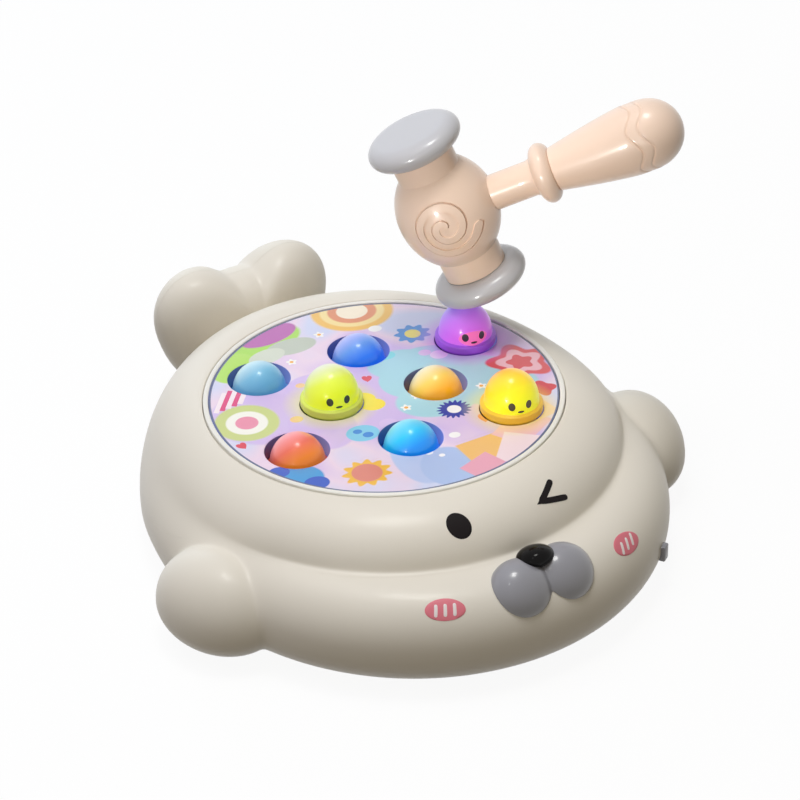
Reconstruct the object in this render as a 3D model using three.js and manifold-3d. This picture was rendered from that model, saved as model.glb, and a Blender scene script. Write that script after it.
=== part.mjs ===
// Seal-shaped pounding game: a hollow seal with a round play deck, eight pop-up moles and a toy hammer.
// Millimetres, +Z up. The seal looks along -Y. The origin is the middle of its flat underside.

import * as THREE from 'three';
import { mergeVertices } from 'three/addons/utils/BufferGeometryUtils.js';
import Module from 'manifold-3d';

const wasm = await Module();
wasm.setup();

// Fits shared by all pieces
const gap = 0.3;
const overrun = 2;
const weldDistance = 1e-4;

// Walls of the two body shells
const shellWall = 2.4;
const floorWall = 2.6;

// Batteries and their bay
const cellRadius = 7.1;
const cellLength = 49.2;
const cellTipRadius = 2.7;
const cellTipLength = 1.1;
const cellSpace = 0.7;
const cellPitch = 2 * cellRadius + cellSpace;
const cellCount = 3;
const contactThick = 0.8;
const contactGap = 2.4;
const bayWall = 1.8;
const bayBehind = 45;
const cellMid = floorWall + cellRadius + gap;
const bayTop = cellMid + cellRadius + gap;
const doorLip = 2;
const doorTabWidth = 8;
const doorTabThick = 1.8;
const doorTabOut = 4;
const doorTabSpread = 18;
const doorEarRadius = 6;
const doorBossRadius = 4.6;
const doorScrewSeat = 4.4;
const doorScrewGrip = 7;

// Circuit board over the battery bay, with a holding magnet and a lamp under each mole
const boardClear = 6.6;
const boardThick = 1.6;
const boardBottom = bayTop + bayWall + boardClear;
const boardTop = boardBottom + boardThick;
const magnetHeight = 7.2;
const magnetTop = boardTop + gap + magnetHeight;
const ledRadius = 2.4;
const ledHeight = 5.6;

// Travel of a mole, and the guide plate with a sleeve under each hole
const travel = 12;
const armatureThick = 1.6;
const armatureDown = magnetTop + gap;
const guideThick = 2.6;
const guideLip = 9;
const guideFit = 0.4;
const sleeveWall = 1.4;
const sleeveDrop = 15;
const lipBottom = armatureDown + travel + armatureThick + gap;
const guideTop = lipBottom + guideLip;

// Play deck
const deckTop = guideTop + gap + travel;
const deckTwist = 13.7;
const deckRadius = 84;
const deckThick = 3;
const bezelWidth = 2.6;
const bezelRise = 0.6;
const wellWall = 2.4;
const wellRadius = deckRadius + gap + bezelWidth + gap;
const holeRadius = 15.3;
const collarWall = 1.4;
const holeOuterXShare = 0.631;
const holeOuterYShare = 0.394;
const holeMiddleYShare = 0.4893;
const holePairXShare = 0.3119;

// Moles
const holeFit = 0.4;
const flangeRadius = holeRadius - holeFit;
const flangeThick = 4.3;
const flangeStep = 1.6;
const domeRadius = flangeRadius - flangeStep;
const domeLift = 6.8;
const skirtStep = 1.4;
const skirtRadius = domeRadius - skirtStep;
const capWall = 1.4;
const armatureStep = 1.5;
const armatureRadius = skirtRadius + armatureStep;
const armatureBore = 6;
const springInset = 2.2;
const springRadius = armatureRadius - springInset;
const springWire = 0.5;
const springTurns = 3;
const magnetInset = 2.4;
const magnetRadius = springRadius - magnetInset;
const magnetBore = 3.6;
const domeRows = 4;
const innerRows = 2;
const outerX = deckRadius * holeOuterXShare;
const outerY = deckRadius * holeOuterYShare;
const middleY = deckRadius * holeMiddleYShare;
const pairX = deckRadius * holePairXShare;
const moles = [
  { id: '1', x: -outerX, y: outerY, up: false, colour: 0x79b9e6 },
  { id: '2', x: 0, y: middleY, up: false, colour: 0x4f86d8 },
  { id: '3', x: outerX, y: outerY, up: true, colour: 0xa05fe0 },
  { id: '4', x: -pairX, y: 0, up: true, colour: 0xd3df3c },
  { id: '5', x: pairX, y: 0, up: false, colour: 0xf0a640 },
  { id: '6', x: outerX, y: -outerY, up: true, colour: 0xf2d024 },
  { id: '7', x: -outerX, y: -outerY, up: false, colour: 0xe86a4c },
  { id: '8', x: 0, y: -middleY, up: false, colour: 0x35a9dc },
];

// Shelf inside the upper shell, which carries the guide plate
const shelfThick = 2.4;
const shelfWidth = 8;

// Case screws, through posts of the lower shell into pillars under the shelf
const pillarInset = 3.2;
const pillarReach = wellRadius - pillarInset;
const pillarTurns = [0, 120, -120];
const pillarRadius = 4.5;
const postRadius = 5.5;
const postTop = 22;
const screwHeadRadius = 3.4;
const screwHeadThick = 2.2;
const screwRadius = 1.5;
const screwSeat = 6;
const screwGrip = 26;

// The circuit board's edge and the four posts that it stands on
const boardEdgeClear = 6.5;
const boardRadius = pillarReach - postRadius - boardEdgeClear;
const boardPostRadius = 3;
const boardPosts = [
  { outShare: 0.878, turn: 71.6 },
  { outShare: 0.878, turn: -71.6 },
  { outShare: 0.935, turn: 132 },
  { outShare: 0.935, turn: -132 },
];

// Speaker
const speakerRadius = 20;
const speakerCollar = 1.6;
const speakerClear = 4.6;
const speakerFront = pillarReach - postRadius - speakerClear - speakerCollar - gap - speakerRadius;
const speakerRimThick = 2;
const speakerHeight = 9;
const speakerMagnetRadius = 9;
const speakerCollarHeight = 3.5;
const grilleSlots = 5;
const grilleSlotWidth = 2.2;
const grilleSlotPitch = 5;
const grilleSlotLength = 22;

// Seal body, two soft rolls of one hollow shell round the deck
const rimRise = 0.5;
const bodyTop = deckTop + rimRise;
const coreInset = 24;
const coreRadius = deckRadius - coreInset;
const coreDrop = 30;
const coreHeight = deckTop - coreDrop;
const sideBand = 32;
const endBand = 40;
const chinWider = 7.9;
const chinLonger = 5.9;
const upperMidDrop = 26.2;
const rollBlend = 16;
const upperRoll = {
  halfWidth: deckRadius + sideBand,
  halfLength: deckRadius + endBand,
  forward: -5.5,
  round: 37.1,
  power: 2.04,
  midFront: deckTop - upperMidDrop,
  midBack: 13.7,
  underFront: 23,
};
const lowerRoll = {
  halfWidth: upperRoll.halfWidth + chinWider,
  halfLength: upperRoll.halfLength + chinLonger,
  forward: 20.1,
  round: 25.7,
  power: 2.14,
  mid: 22.1,
  over: 26.3,
};
const flipperBlend = 14;
const rollTurnStart = 60;
const rollTurnSpan = 60;
const bodyBack = upperRoll.halfLength - upperRoll.forward;
const chinFront = lowerRoll.halfLength + lowerRoll.forward;

// Parting line between the upper and the lower shell, as a climb seen from the core ring
const seamClimbFront = 8;
const seamClimbBack = -14;
const seamTurnStart = 60;
const seamTurnSpan = 55;
const seamOverlap = 2;
const topClimb = 52;
const bottomClimb = -56;

// Flippers
const flipperTurn = 69.4;
const flipperOut = 1.1;
const flipperReach = lowerRoll.halfWidth + flipperOut;
const flipperMid = 19.3;
const flipperHalfAlong = 24.9;
const flipperHalfAcross = 30.9;
const flipperHalfHeight = 20.4;

// Tail fluke
const tailBack = 14.5;
const tailBehind = bodyBack + tailBack;
const tailMid = 42.1;
const tailHalfThick = 20;
const tailLobeOut = 26.6;
const tailLobeRise = 12.3;
const tailLobeRadius = 22.1;
const tailFootDrop = 6;
const tailFootHalfWidth = 44.7;
const tailFootHalfHeight = 32.5;
const tailBlend = 7.9;
const tailPuffPower = 0.65;
const tailPuffShares = [-0.92, -0.68, -0.35, 0, 0.35, 0.68, 0.92];
const tailWall = 2.2;

// Power switch
const switchTurn = 32.5;
const switchHeight = 19.2;
const knobWidth = 5;
const knobHeight = 8.4;
const knobProud = 2.4;
const knobDeep = 8.5;
const knobTravel = 4;
const switchBodyLong = 14;
const switchBodyDeep = 7;
const switchBodyHigh = 11;
const switchSearchStep = 0.125;

// Muzzle and nose
const muzzleHalfWidth = 15.1;
const muzzleHalfDeep = 11;
const muzzleHalfHeight = 14.4;
const muzzleTilt = 48;
const muzzleOut = 11.3;
const muzzleSink = 15.6;
const muzzleFront = chinFront - muzzleSink;
const muzzleMid = 41.6;
const noseSink = 21.5;
const noseFront = chinFront - noseSink;
const noseMid = 51.8;
const noseTilt = 21;
const noseHalfWidth = 8.9;
const noseHalfDeep = 7.8;
const noseHalfHeight = 5;

// Toy hammer
const hammerHeading = -33.5;
const hammerRise = 23;
const hammerRoll = -1.2;
const strikeAlong = -16.4;
const strikeAcross = -7.7;
const headRadius = 25.2;
const headHalfHeight = 29.3;
const headWall = 2;
const neckRadius = 15.5;
const neckEnd = 33.7;
const neckWall = 2.3;
const hammerCapRadius = 23.6;
const hammerCapThick = 12;
const hammerCapRound = 7.5;
const spigotLength = 6;
const shaftRadius = 8.8;
const shaftStart = 14;
const collarPlace = 51.1;
const collarRadius = 15;
const collarHalfWidth = 5;
const collarTurns = [30, 90, 150];
const gripEnd = 121;
const gripRadius = 17.1;

// Outline of the grip, as shares of its length and of its largest radius
const gripShares = [[0, 0.63], [0.12, 0.72], [0.27, 0.84], [0.42, 0.93], [0.57, 1], [0.7, 1], [0.82, 0.91],
  [0.91, 0.74], [0.97, 0.43]];

// Roundness of the meshes, in steps of a turn
const bodySteps = 48;
const wallSteps = 36;
const bodyRows = 7;
const wallRows = 5;
const lampSteps = 6;
const deckSteps = 48;
const holeSteps = 14;
const tailSteps = 28;
const ballRows = 10;
const hammerSteps = 20;
const gripSteps = 16;
const headRows = 5;
const capRows = 4;
const smallSteps = 10;
const flipperRows = 6;
const screwSteps = 8;
const springSteps = 6;
const springSides = 4;
const bisections = 40;

const part = new THREE.Group();
const rad = THREE.MathUtils.degToRad;

// Solids

// One closed mesh with its faces pointing out, from any closed geometry.
function closed(geometry) {
  const bare = new THREE.BufferGeometry();
  bare.setAttribute('position', geometry.getAttribute('position').clone());
  if (geometry.index) {
    bare.setIndex(geometry.index.clone());
  }
  const merged = mergeVertices(bare, weldDistance);
  const place = merged.getAttribute('position');
  const corners = merged.index.array;
  const kept = [];
  let volume = 0;
  const a = new THREE.Vector3();
  const b = new THREE.Vector3();
  const c = new THREE.Vector3();
  for (let i = 0; i < corners.length; i += 3) {
    const [p, q, r] = [corners[i], corners[i + 1], corners[i + 2]];
    if (p === q || q === r || r === p) {
      continue;
    }
    kept.push(p, q, r);
    a.fromBufferAttribute(place, p);
    b.fromBufferAttribute(place, q);
    c.fromBufferAttribute(place, r);
    volume += a.dot(b.cross(c));
  }
  if (volume < 0) {
    kept.reverse();
  }
  merged.setIndex(kept);
  return merged;
}

function solidOf(geometry) {
  const mesh = closed(geometry);
  return new wasm.Manifold(new wasm.Mesh({
    numProp: 3,
    vertProperties: new Float32Array(mesh.getAttribute('position').array),
    triVerts: new Uint32Array(mesh.index.array),
  }));
}

function geometryOf(solid) {
  const mesh = solid.getMesh();
  const geometry = new THREE.BufferGeometry();
  geometry.setAttribute('position', new THREE.BufferAttribute(new Float32Array(mesh.vertProperties), 3));
  geometry.setIndex(new THREE.BufferAttribute(new Uint32Array(mesh.triVerts), 1));
  return geometry;
}

// A turned solid about Z, from a profile of [radius, height] pairs.
function turned(profile, steps) {
  const points = profile.map(([radius, height]) => new THREE.Vector2(radius, height));
  return new THREE.LatheGeometry(points, steps).rotateX(Math.PI / 2);
}

function disc(radius, bottom, top, steps) {
  return turned([[0, bottom], [radius, bottom], [radius, top], [0, top]], steps);
}

function ring(inner, outer, bottom, top, steps) {
  return turned([[inner, bottom], [outer, bottom], [outer, top], [inner, top], [inner, bottom]], steps);
}

function box(x0, x1, y0, y1, z0, z1) {
  const block = new THREE.BoxGeometry(x1 - x0, y1 - y0, z1 - z0);
  return block.translate((x0 + x1) / 2, (y0 + y1) / 2, (z0 + z1) / 2);
}

// A closed skin over rings of equal length, with a point at each end.
function ringsSolid(rings, startPoint, endPoint) {
  const count = rings[0].length;
  const points = [startPoint, ...rings.flat(), endPoint];
  const corners = [];
  const at = (row, column) => 1 + row * count + (column % count);
  const last = points.length - 1;
  for (let i = 0; i < count; i += 1) {
    corners.push(0, at(0, i), at(0, i + 1));
    corners.push(last, at(rings.length - 1, i + 1), at(rings.length - 1, i));
    for (let j = 0; j + 1 < rings.length; j += 1) {
      corners.push(at(j, i), at(j + 1, i), at(j + 1, i + 1));
      corners.push(at(j, i), at(j + 1, i + 1), at(j, i + 1));
    }
  }
  const geometry = new THREE.BufferGeometry().setFromPoints(points);
  geometry.setIndex(corners);
  return geometry;
}

function finish(colour, roughness, metalness = 0, opacity = 1) {
  return new THREE.MeshStandardMaterial({
    color: colour,
    roughness,
    metalness,
    opacity,
    transparent: opacity < 1,
  });
}

function add(name, shape, material, parent = part) {
  const geometry = shape.isBufferGeometry ? closed(shape) : geometryOf(shape);
  geometry.computeVertexNormals();
  const mesh = new THREE.Mesh(geometry, material);
  mesh.name = name;
  parent.add(mesh);
  return mesh;
}

// Place at a distance and a turn from the seal's front, seen from above.
function around(radius, turnDegrees) {
  const turn = rad(turnDegrees);
  return { x: radius * Math.sin(turn), y: -radius * Math.cos(turn) };
}

// Seal body

function ease(share) {
  const s = Math.min(Math.max(share, 0), 1);
  return s * s * (3 - 2 * s);
}

// Plan distance from the deck's axis to a roll's ellipse.
function rollEdge(roll, turn) {
  const a = (Math.sin(turn) / roll.halfWidth) ** 2 + (Math.cos(turn) / roll.halfLength) ** 2;
  const b = -2 * Math.cos(turn) * roll.forward / roll.halfLength ** 2;
  const c = (roll.forward / roll.halfLength) ** 2 - 1;
  return (-b + Math.sqrt(b * b - 4 * a * c)) / (2 * a);
}

// Distance from the core ring to a roll's skin along a climb, for a skin that lies inset deeper.
function rollReach(roll, turn, climb, mid, over, under, inset) {
  const edge = rollEdge(roll, turn);
  const holds = (reach) => {
    const r = coreRadius + reach * Math.cos(climb);
    const z = coreHeight + reach * Math.sin(climb);
    const out = Math.max(0, (r - edge + roll.round) / (roll.round - inset));
    const up = z > mid ? (z - mid) / (over - inset) : (mid - z) / (under - inset);
    return up <= 1 && out ** roll.power + up ** roll.power < 1;
  };
  let inside = 0;
  let outside = 2 * edge;
  for (let step = 0; step < bisections; step += 1) {
    const middle = (inside + outside) / 2;
    if (holds(middle)) {
      inside = middle;
    } else {
      outside = middle;
    }
  }
  return inside;
}

// Distance from the core ring to the far side of a flipper, or 0 where the line misses it.
function flipperReachAt(turn, climb, inset) {
  const off = Math.abs(turn) - rad(flipperTurn);
  const along = flipperHalfAlong - inset;
  const across = flipperHalfAcross - inset;
  const high = flipperHalfHeight - inset;
  const start = [
    (coreRadius * Math.cos(off) - flipperReach) / along,
    coreRadius * Math.sin(off) / across,
    (coreHeight - flipperMid) / high,
  ];
  const way = [
    Math.cos(climb) * Math.cos(off) / along,
    Math.cos(climb) * Math.sin(off) / across,
    Math.sin(climb) / high,
  ];
  const a = way[0] ** 2 + way[1] ** 2 + way[2] ** 2;
  const b = 2 * (way[0] * start[0] + way[1] * start[1] + way[2] * start[2]);
  const c = start[0] ** 2 + start[1] ** 2 + start[2] ** 2 - 1;
  const under = b * b - 4 * a * c;
  return under > 0 ? Math.max(0, (-b + Math.sqrt(under)) / (2 * a)) : 0;
}

// A point of the body's skin, or of a skin that lies inset deeper.
function skin(turn, climb, inset = 0) {
  const back = ease((Math.abs(turn) - rad(rollTurnStart)) / rad(rollTurnSpan));
  const upperMid = upperRoll.midFront + (upperRoll.midBack - upperRoll.midFront) * back;
  const upperUnder = upperRoll.underFront * (1 - back) + upperMid * back;
  const upper = rollReach(upperRoll, turn, climb, upperMid, bodyTop - upperMid, upperUnder, inset);
  const lower = rollReach(lowerRoll, turn, climb, lowerRoll.mid, lowerRoll.over, lowerRoll.mid, inset);
  const rolls = (upper ** rollBlend + lower ** rollBlend) ** (1 / rollBlend);
  const flipper = inset > 0 ? 0 : flipperReachAt(turn, climb, inset);
  const reach = (rolls ** flipperBlend + flipper ** flipperBlend) ** (1 / flipperBlend);
  const r = coreRadius + reach * Math.cos(climb);
  const floor = inset > 0 ? floorWall : inset;
  const roof = bodyTop - inset;
  const z = Math.min(Math.max(coreHeight + reach * Math.sin(climb), floor), roof);
  return new THREE.Vector3(r * Math.sin(turn), -r * Math.cos(turn), z);
}

function turnsOf(steps, withFlippers) {
  const turns = [];
  for (let i = 0; i < steps; i += 1) {
    const turn = -Math.PI + 2 * Math.PI * i / steps;
    turns.push(turn);
    const step = 2 * Math.PI / steps;
    const off = Math.abs(Math.abs(turn + step / 2) - rad(flipperTurn));
    if (withFlippers && off * flipperReach < flipperHalfAcross + 2 * shellWall) {
      turns.push(turn + step / 3, turn + 2 * step / 3);
    }
  }
  return turns;
}

function seamClimb(turn) {
  const back = ease((Math.abs(turn) - rad(seamTurnStart)) / rad(seamTurnSpan));
  return rad(seamClimbFront + (seamClimbBack - seamClimbFront) * back);
}

// A solid of the body from one end's climb to a seam, closed to the axis there and along the core ring.
function bodyLump(turns, rows, endClimb, seam, inset, coreShift = 0) {
  const rings = [];
  for (let j = 0; j <= rows; j += 1) {
    const share = j / rows;
    rings.push(turns.map((turn) => skin(turn, rad(endClimb) * (1 - share) + seam(turn) * share, inset)));
  }
  const endPoint = new THREE.Vector3(0, 0, rings[0][0].z);
  const corePoint = new THREE.Vector3(0, 0, coreHeight + coreShift);
  rings.push(turns.map((turn) => new THREE.Vector3(
    coreRadius * Math.sin(turn),
    -coreRadius * Math.cos(turn),
    corePoint.z,
  )));
  return solidOf(ringsSolid(rings, endPoint, corePoint));
}

const fineTurns = turnsOf(bodySteps, true);
const wallTurns = turnsOf(wallSteps, false);
const underSeam = (turn) => seamClimb(turn) - gap / coreRadius;

// The whole outer form grown by some distance, to fit other pieces against it.
function bodyGrown(distance) {
  const overSeam = (turn) => seamClimb(turn) + gap / coreRadius;
  const upper = bodyLump(fineTurns, bodyRows, topClimb, seamClimb, -distance);
  return upper.add(bodyLump(fineTurns, bodyRows, bottomClimb, overSeam, -distance));
}
const bodyClear = bodyGrown(gap);

function wallFlipper(side) {
  const at = around(flipperReach, side * flipperTurn);
  const high = Math.min(flipperHalfHeight - shellWall, flipperMid - floorWall);
  const ball = new THREE.SphereGeometry(1, smallSteps, flipperRows);
  ball.scale(flipperHalfAcross - shellWall, flipperHalfAlong - shellWall, high);
  ball.rotateZ(side * rad(flipperTurn));
  ball.translate(at.x, at.y, flipperMid);
  return solidOf(ball);
}

// Upper shell: the head roll, with the deck's well, its shelf and three screw pillars
const ivory = finish(0xe8e2d2, 0.45);
const shelfTop = guideTop - guideThick - gap;
const shelfBottom = shelfTop - shelfThick;
const shelfInner = wellRadius - shelfWidth;
const pillarBottom = postTop + gap;
const pillarBore = screwRadius + gap;
const pillarBoreTop = screwSeat + screwGrip + gap;

function upperShell() {
  const outer = bodyLump(fineTurns, bodyRows, topClimb, seamClimb, 0);
  const pastSeam = (turn) => seamClimb(turn) - rad(seamOverlap);
  const hollow = bodyLump(wallTurns, wallRows, topClimb, pastSeam, shellWall, -overrun);
  const well = solidOf(ring(shelfInner, wellRadius + wellWall, shelfBottom, bodyTop - gap, deckSteps));
  let shell = outer.subtract(hollow).add(well);
  shell = shell.subtract(solidOf(disc(wellRadius, shelfTop, bodyTop + overrun, deckSteps)));
  shell = shell.subtract(solidOf(disc(shelfInner, shelfBottom - overrun, bodyTop, deckSteps)));
  for (const turn of pillarTurns) {
    const at = around(pillarReach, turn);
    const pillar = disc(pillarRadius, pillarBottom, shelfTop - gap, smallSteps).translate(at.x, at.y, 0);
    const bore = disc(pillarBore, pillarBottom - overrun, pillarBoreTop, smallSteps);
    shell = shell.add(solidOf(pillar)).subtract(solidOf(bore.translate(at.x, at.y, 0)));
  }
  return shell;
}
add('upper_shell', upperShell(), ivory);

// Lower shell: the chin roll, flippers and flat floor, with the battery bay, posts and speaker collar
const bayLength = cellLength + cellTipLength + 2 * (contactGap + contactThick + gap);
const bayWidth = cellPitch * (cellCount - 1) + 2 * (cellRadius + gap);
const bayHalfX = bayLength / 2;
const bayHalfY = bayWidth / 2;
const bayFront = bayBehind - bayHalfY;
const bayBack = bayBehind + bayHalfY;
const doorEarFront = bayFront - doorBossRadius - bayWall / 2;
const skinAtSwitch = switchSkin();
const switchInner = skinAtSwitch - knobDeep - gap;
const knobFit = guideFit;
const knobLow = switchHeight - knobHeight / 2;
const knobHigh = switchHeight + knobHeight / 2;
const switchBodyLow = switchHeight - switchBodyHigh / 2;
const switchBodyTop = switchHeight + switchBodyHigh / 2;
const switchBack = switchInner - switchBodyDeep;

// Plan distance of the skin where the power switch passes it.
function switchSkin() {
  let best = 0;
  let nearest = Infinity;
  for (let climb = rad(seamClimbBack); climb > rad(bottomClimb); climb -= rad(switchSearchStep)) {
    const point = skin(rad(switchTurn), climb);
    if (Math.abs(point.z - switchHeight) < nearest) {
      nearest = Math.abs(point.z - switchHeight);
      best = Math.hypot(point.x, point.y);
    }
  }
  return best;
}

// A block in the switch's own frame: x across the slide, y outwards, z up.
function switchBlock(x0, x1, r0, r1, z0, z1) {
  return box(x0, x1, -r1, -r0, z0, z1).rotateZ(rad(switchTurn));
}

function lowerShell() {
  const pastSeam = (turn) => seamClimb(turn) + rad(seamOverlap);
  const outer = bodyLump(fineTurns, bodyRows, bottomClimb, underSeam, 0);
  let hollow = bodyLump(wallTurns, wallRows, bottomClimb, pastSeam, shellWall, overrun);
  for (const side of [1, -1]) {
    hollow = hollow.add(wallFlipper(side).intersect(outer));
  }
  let shell = outer.subtract(hollow);
  const roots = floorWall / 2;
  const bayOutX = bayHalfX + bayWall;
  const cupRadius = doorEarRadius + bayWall;
  const cupTop = doorScrewSeat + bayWall;
  const collarInner = speakerRadius + gap;
  const collarTop = floorWall + speakerCollarHeight;
  const bossTop = doorScrewSeat + doorScrewGrip + floorWall;
  const collar = ring(collarInner, collarInner + speakerCollar, roots, collarTop, hammerSteps);
  const bracketHalf = switchBodyLong / 2;
  const blocks = [
    box(-bayOutX, bayOutX, bayFront - bayWall, bayBack + bayWall, roots, bayTop + bayWall),
    collar.translate(0, -speakerFront, 0),
    disc(doorBossRadius, roots, bossTop, smallSteps).translate(0, doorEarFront, 0),
    disc(cupRadius, roots, cupTop, hammerSteps).translate(0, doorEarFront, 0),
    box(-cupRadius, cupRadius, doorEarFront, bayFront, roots, cupTop),
    switchBlock(-bracketHalf, bracketHalf, switchBack, switchInner - gap, roots, switchBodyLow - gap),
  ];
  for (const post of boardPosts) {
    const at = around(boardRadius * post.outShare, post.turn);
    blocks.push(disc(boardPostRadius, roots, boardBottom - gap, smallSteps).translate(at.x, at.y, 0));
  }
  for (const turn of pillarTurns) {
    const at = around(pillarReach, turn);
    blocks.push(disc(postRadius, roots, postTop, smallSteps).translate(at.x, at.y, 0));
  }
  for (const block of blocks) {
    shell = shell.add(solidOf(block).intersect(outer));
  }
  const doorBoreTop = doorScrewSeat + doorScrewGrip + gap;
  const slotStart = -knobWidth / 2 - knobFit;
  const slotEnd = knobWidth / 2 + knobTravel + knobFit;
  const slotOut = skinAtSwitch + overrun;
  const cuts = [
    box(-bayHalfX, bayHalfX, bayFront, bayBack, -overrun, bayTop),
    disc(doorEarRadius, -overrun, doorScrewSeat, hammerSteps).translate(0, doorEarFront, 0),
    box(-doorEarRadius, doorEarRadius, doorEarFront, bayFront + overrun, -overrun, doorScrewSeat),
    disc(screwRadius + gap, 0, doorBoreTop, smallSteps).translate(0, doorEarFront, 0),
    switchBlock(slotStart, slotEnd, switchInner, slotOut, knobLow - knobFit, knobHigh + knobFit),
  ];
  const tabSlotHalf = doorTabWidth / 2 + gap;
  const tabSlotBack = bayBack + doorTabOut + gap;
  const tabSlotTop = floorWall + doorTabThick + 2 * gap;
  for (const middle of [doorTabSpread, -doorTabSpread]) {
    const [x0, x1] = [middle - tabSlotHalf, middle + tabSlotHalf];
    cuts.push(box(x0, x1, bayBack - overrun, tabSlotBack, floorWall, tabSlotTop));
  }
  for (let i = 0; i < grilleSlots; i += 1) {
    const y = -speakerFront + (i - (grilleSlots - 1) / 2) * grilleSlotPitch;
    const [y0, y1] = [y - grilleSlotWidth / 2, y + grilleSlotWidth / 2];
    cuts.push(box(-grilleSlotLength / 2, grilleSlotLength / 2, y0, y1, -overrun, floorWall + gap));
  }
  for (const turn of pillarTurns) {
    const at = around(pillarReach, turn);
    cuts.push(disc(screwHeadRadius + gap, -overrun, screwSeat, smallSteps).translate(at.x, at.y, 0));
    cuts.push(disc(screwRadius + gap, 0, postTop + overrun, smallSteps).translate(at.x, at.y, 0));
  }
  for (const cut of cuts) {
    shell = shell.subtract(solidOf(cut));
  }
  return shell;
}
add('lower_shell', lowerShell(), ivory);

// Tail: a puffed fluke with two lobes, in a front and a back half

// Outline distance from the fluke's middle, at an angle above level.
function flukeReach(angle) {
  const x = Math.abs(Math.cos(angle));
  const z = Math.sin(angle);
  const b = x * tailLobeOut + z * tailLobeRise;
  const c = tailLobeOut ** 2 + tailLobeRise ** 2 - tailLobeRadius ** 2;
  const under = b * b - c;
  const lobe = under > 0 ? Math.max(0, b + Math.sqrt(under)) : 0;
  const p = (x / tailFootHalfWidth) ** 2 + (z / tailFootHalfHeight) ** 2;
  const q = z * tailFootDrop / tailFootHalfHeight ** 2;
  const s = (tailFootDrop / tailFootHalfHeight) ** 2 - 1;
  const foot = (-q + Math.sqrt(q * q - p * s)) / p;
  return (lobe ** tailBlend + foot ** tailBlend) ** (1 / tailBlend);
}

function flukeLump(inset) {
  const half = tailHalfThick - inset;
  const rings = [];
  for (const puff of tailPuffShares) {
    const draw = (1 - puff * puff) ** (tailPuffPower / 2);
    const row = [];
    for (let i = 0; i < tailSteps; i += 1) {
      const angle = 2 * Math.PI * (i + 0.5) / tailSteps;
      const out = (flukeReach(angle) - inset) * draw;
      row.push(new THREE.Vector3(
        out * Math.cos(angle),
        tailBehind + half * puff,
        tailMid + out * Math.sin(angle),
      ));
    }
    rings.push(row);
  }
  const start = new THREE.Vector3(0, tailBehind - half, tailMid);
  const end = new THREE.Vector3(0, tailBehind + half, tailMid);
  return solidOf(ringsSolid(rings, start, end));
}

function tailHalves() {
  const hollow = flukeLump(tailWall).subtract(bodyGrown(gap + tailWall));
  const shell = flukeLump(0).subtract(bodyClear).subtract(hollow);
  const wide = 2 * (tailLobeOut + tailLobeRadius);
  const high = deckTop + wide;
  const fore = solidOf(box(-wide, wide, 0, tailBehind - gap / 2, -wide, high));
  const aft = solidOf(box(-wide, wide, tailBehind + gap / 2, 2 * tailBehind, -wide, high));
  return { front: shell.intersect(fore), back: shell.intersect(aft) };
}
const tail = tailHalves();
add('tail_front_shell', tail.front, ivory);
add('tail_back_shell', tail.back, ivory);

// Muzzle and nose, fitted against the shell, each lobe tilted back by some degrees
function ellipsoid(halfWidth, halfDeep, halfHeight, tilt, x, y, z) {
  const ball = new THREE.SphereGeometry(1, holeSteps, ballRows);
  ball.rotateX(Math.PI / 2);
  ball.scale(halfWidth, halfDeep, halfHeight);
  ball.rotateX(-rad(tilt));
  ball.translate(x, y, z);
  return solidOf(ball);
}

function muzzleLump(grown) {
  const [wide, deep, high] = [muzzleHalfWidth + grown, muzzleHalfDeep + grown, muzzleHalfHeight + grown];
  const left = ellipsoid(wide, deep, high, muzzleTilt, -muzzleOut, -muzzleFront, muzzleMid);
  const right = ellipsoid(wide, deep, high, muzzleTilt, muzzleOut, -muzzleFront, muzzleMid);
  return left.add(right);
}
const noseLump = ellipsoid(noseHalfWidth, noseHalfDeep, noseHalfHeight, noseTilt, 0, -noseFront, noseMid);
add('muzzle', muzzleLump(0).subtract(bodyClear), finish(0x9a9ba6, 0.2));
add('nose', noseLump.subtract(bodyClear).subtract(muzzleLump(gap)), finish(0x17151a, 0.12));

// Play deck: the printed plate with a collar round each hole, its white ring and the mole guide
const deck = new THREE.Group();
deck.rotation.z = -rad(deckTwist);
part.add(deck);

function deckPlate() {
  let plate = solidOf(disc(deckRadius, deckTop - deckThick, deckTop, deckSteps));
  for (const mole of moles) {
    const collar = disc(holeRadius + collarWall, guideTop + gap, deckTop - gap, holeSteps);
    plate = plate.add(solidOf(collar.translate(mole.x, mole.y, 0)));
  }
  for (const mole of moles) {
    const hole = disc(holeRadius, guideTop - overrun, deckTop + overrun, holeSteps);
    plate = plate.subtract(solidOf(hole.translate(mole.x, mole.y, 0)));
  }
  return plate;
}
add('deck_plate', deckPlate(), finish(0xd8cfe8, 0.25), deck);

const bezelInner = deckRadius + gap;
const bezelOuter = bezelInner + bezelWidth;
const bezelTop = deckTop + bezelRise;
const bezelBevel = bezelWidth / 4;
add('deck_bezel', turned([
  [bezelInner, guideTop + gap],
  [bezelOuter, guideTop + gap],
  [bezelOuter, bezelTop - bezelBevel],
  [(bezelOuter + bezelInner) / 2, bezelTop],
  [bezelInner, bezelTop - bezelBevel],
  [bezelInner, guideTop + gap],
], deckSteps), finish(0xf4f3ee, 0.35), deck);

const lipBore = skirtRadius + guideFit;
const sleeveBore = armatureRadius + guideFit;
const sleeveRadius = sleeveBore + sleeveWall;
const sleeveBottom = lipBottom - sleeveDrop;

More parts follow.
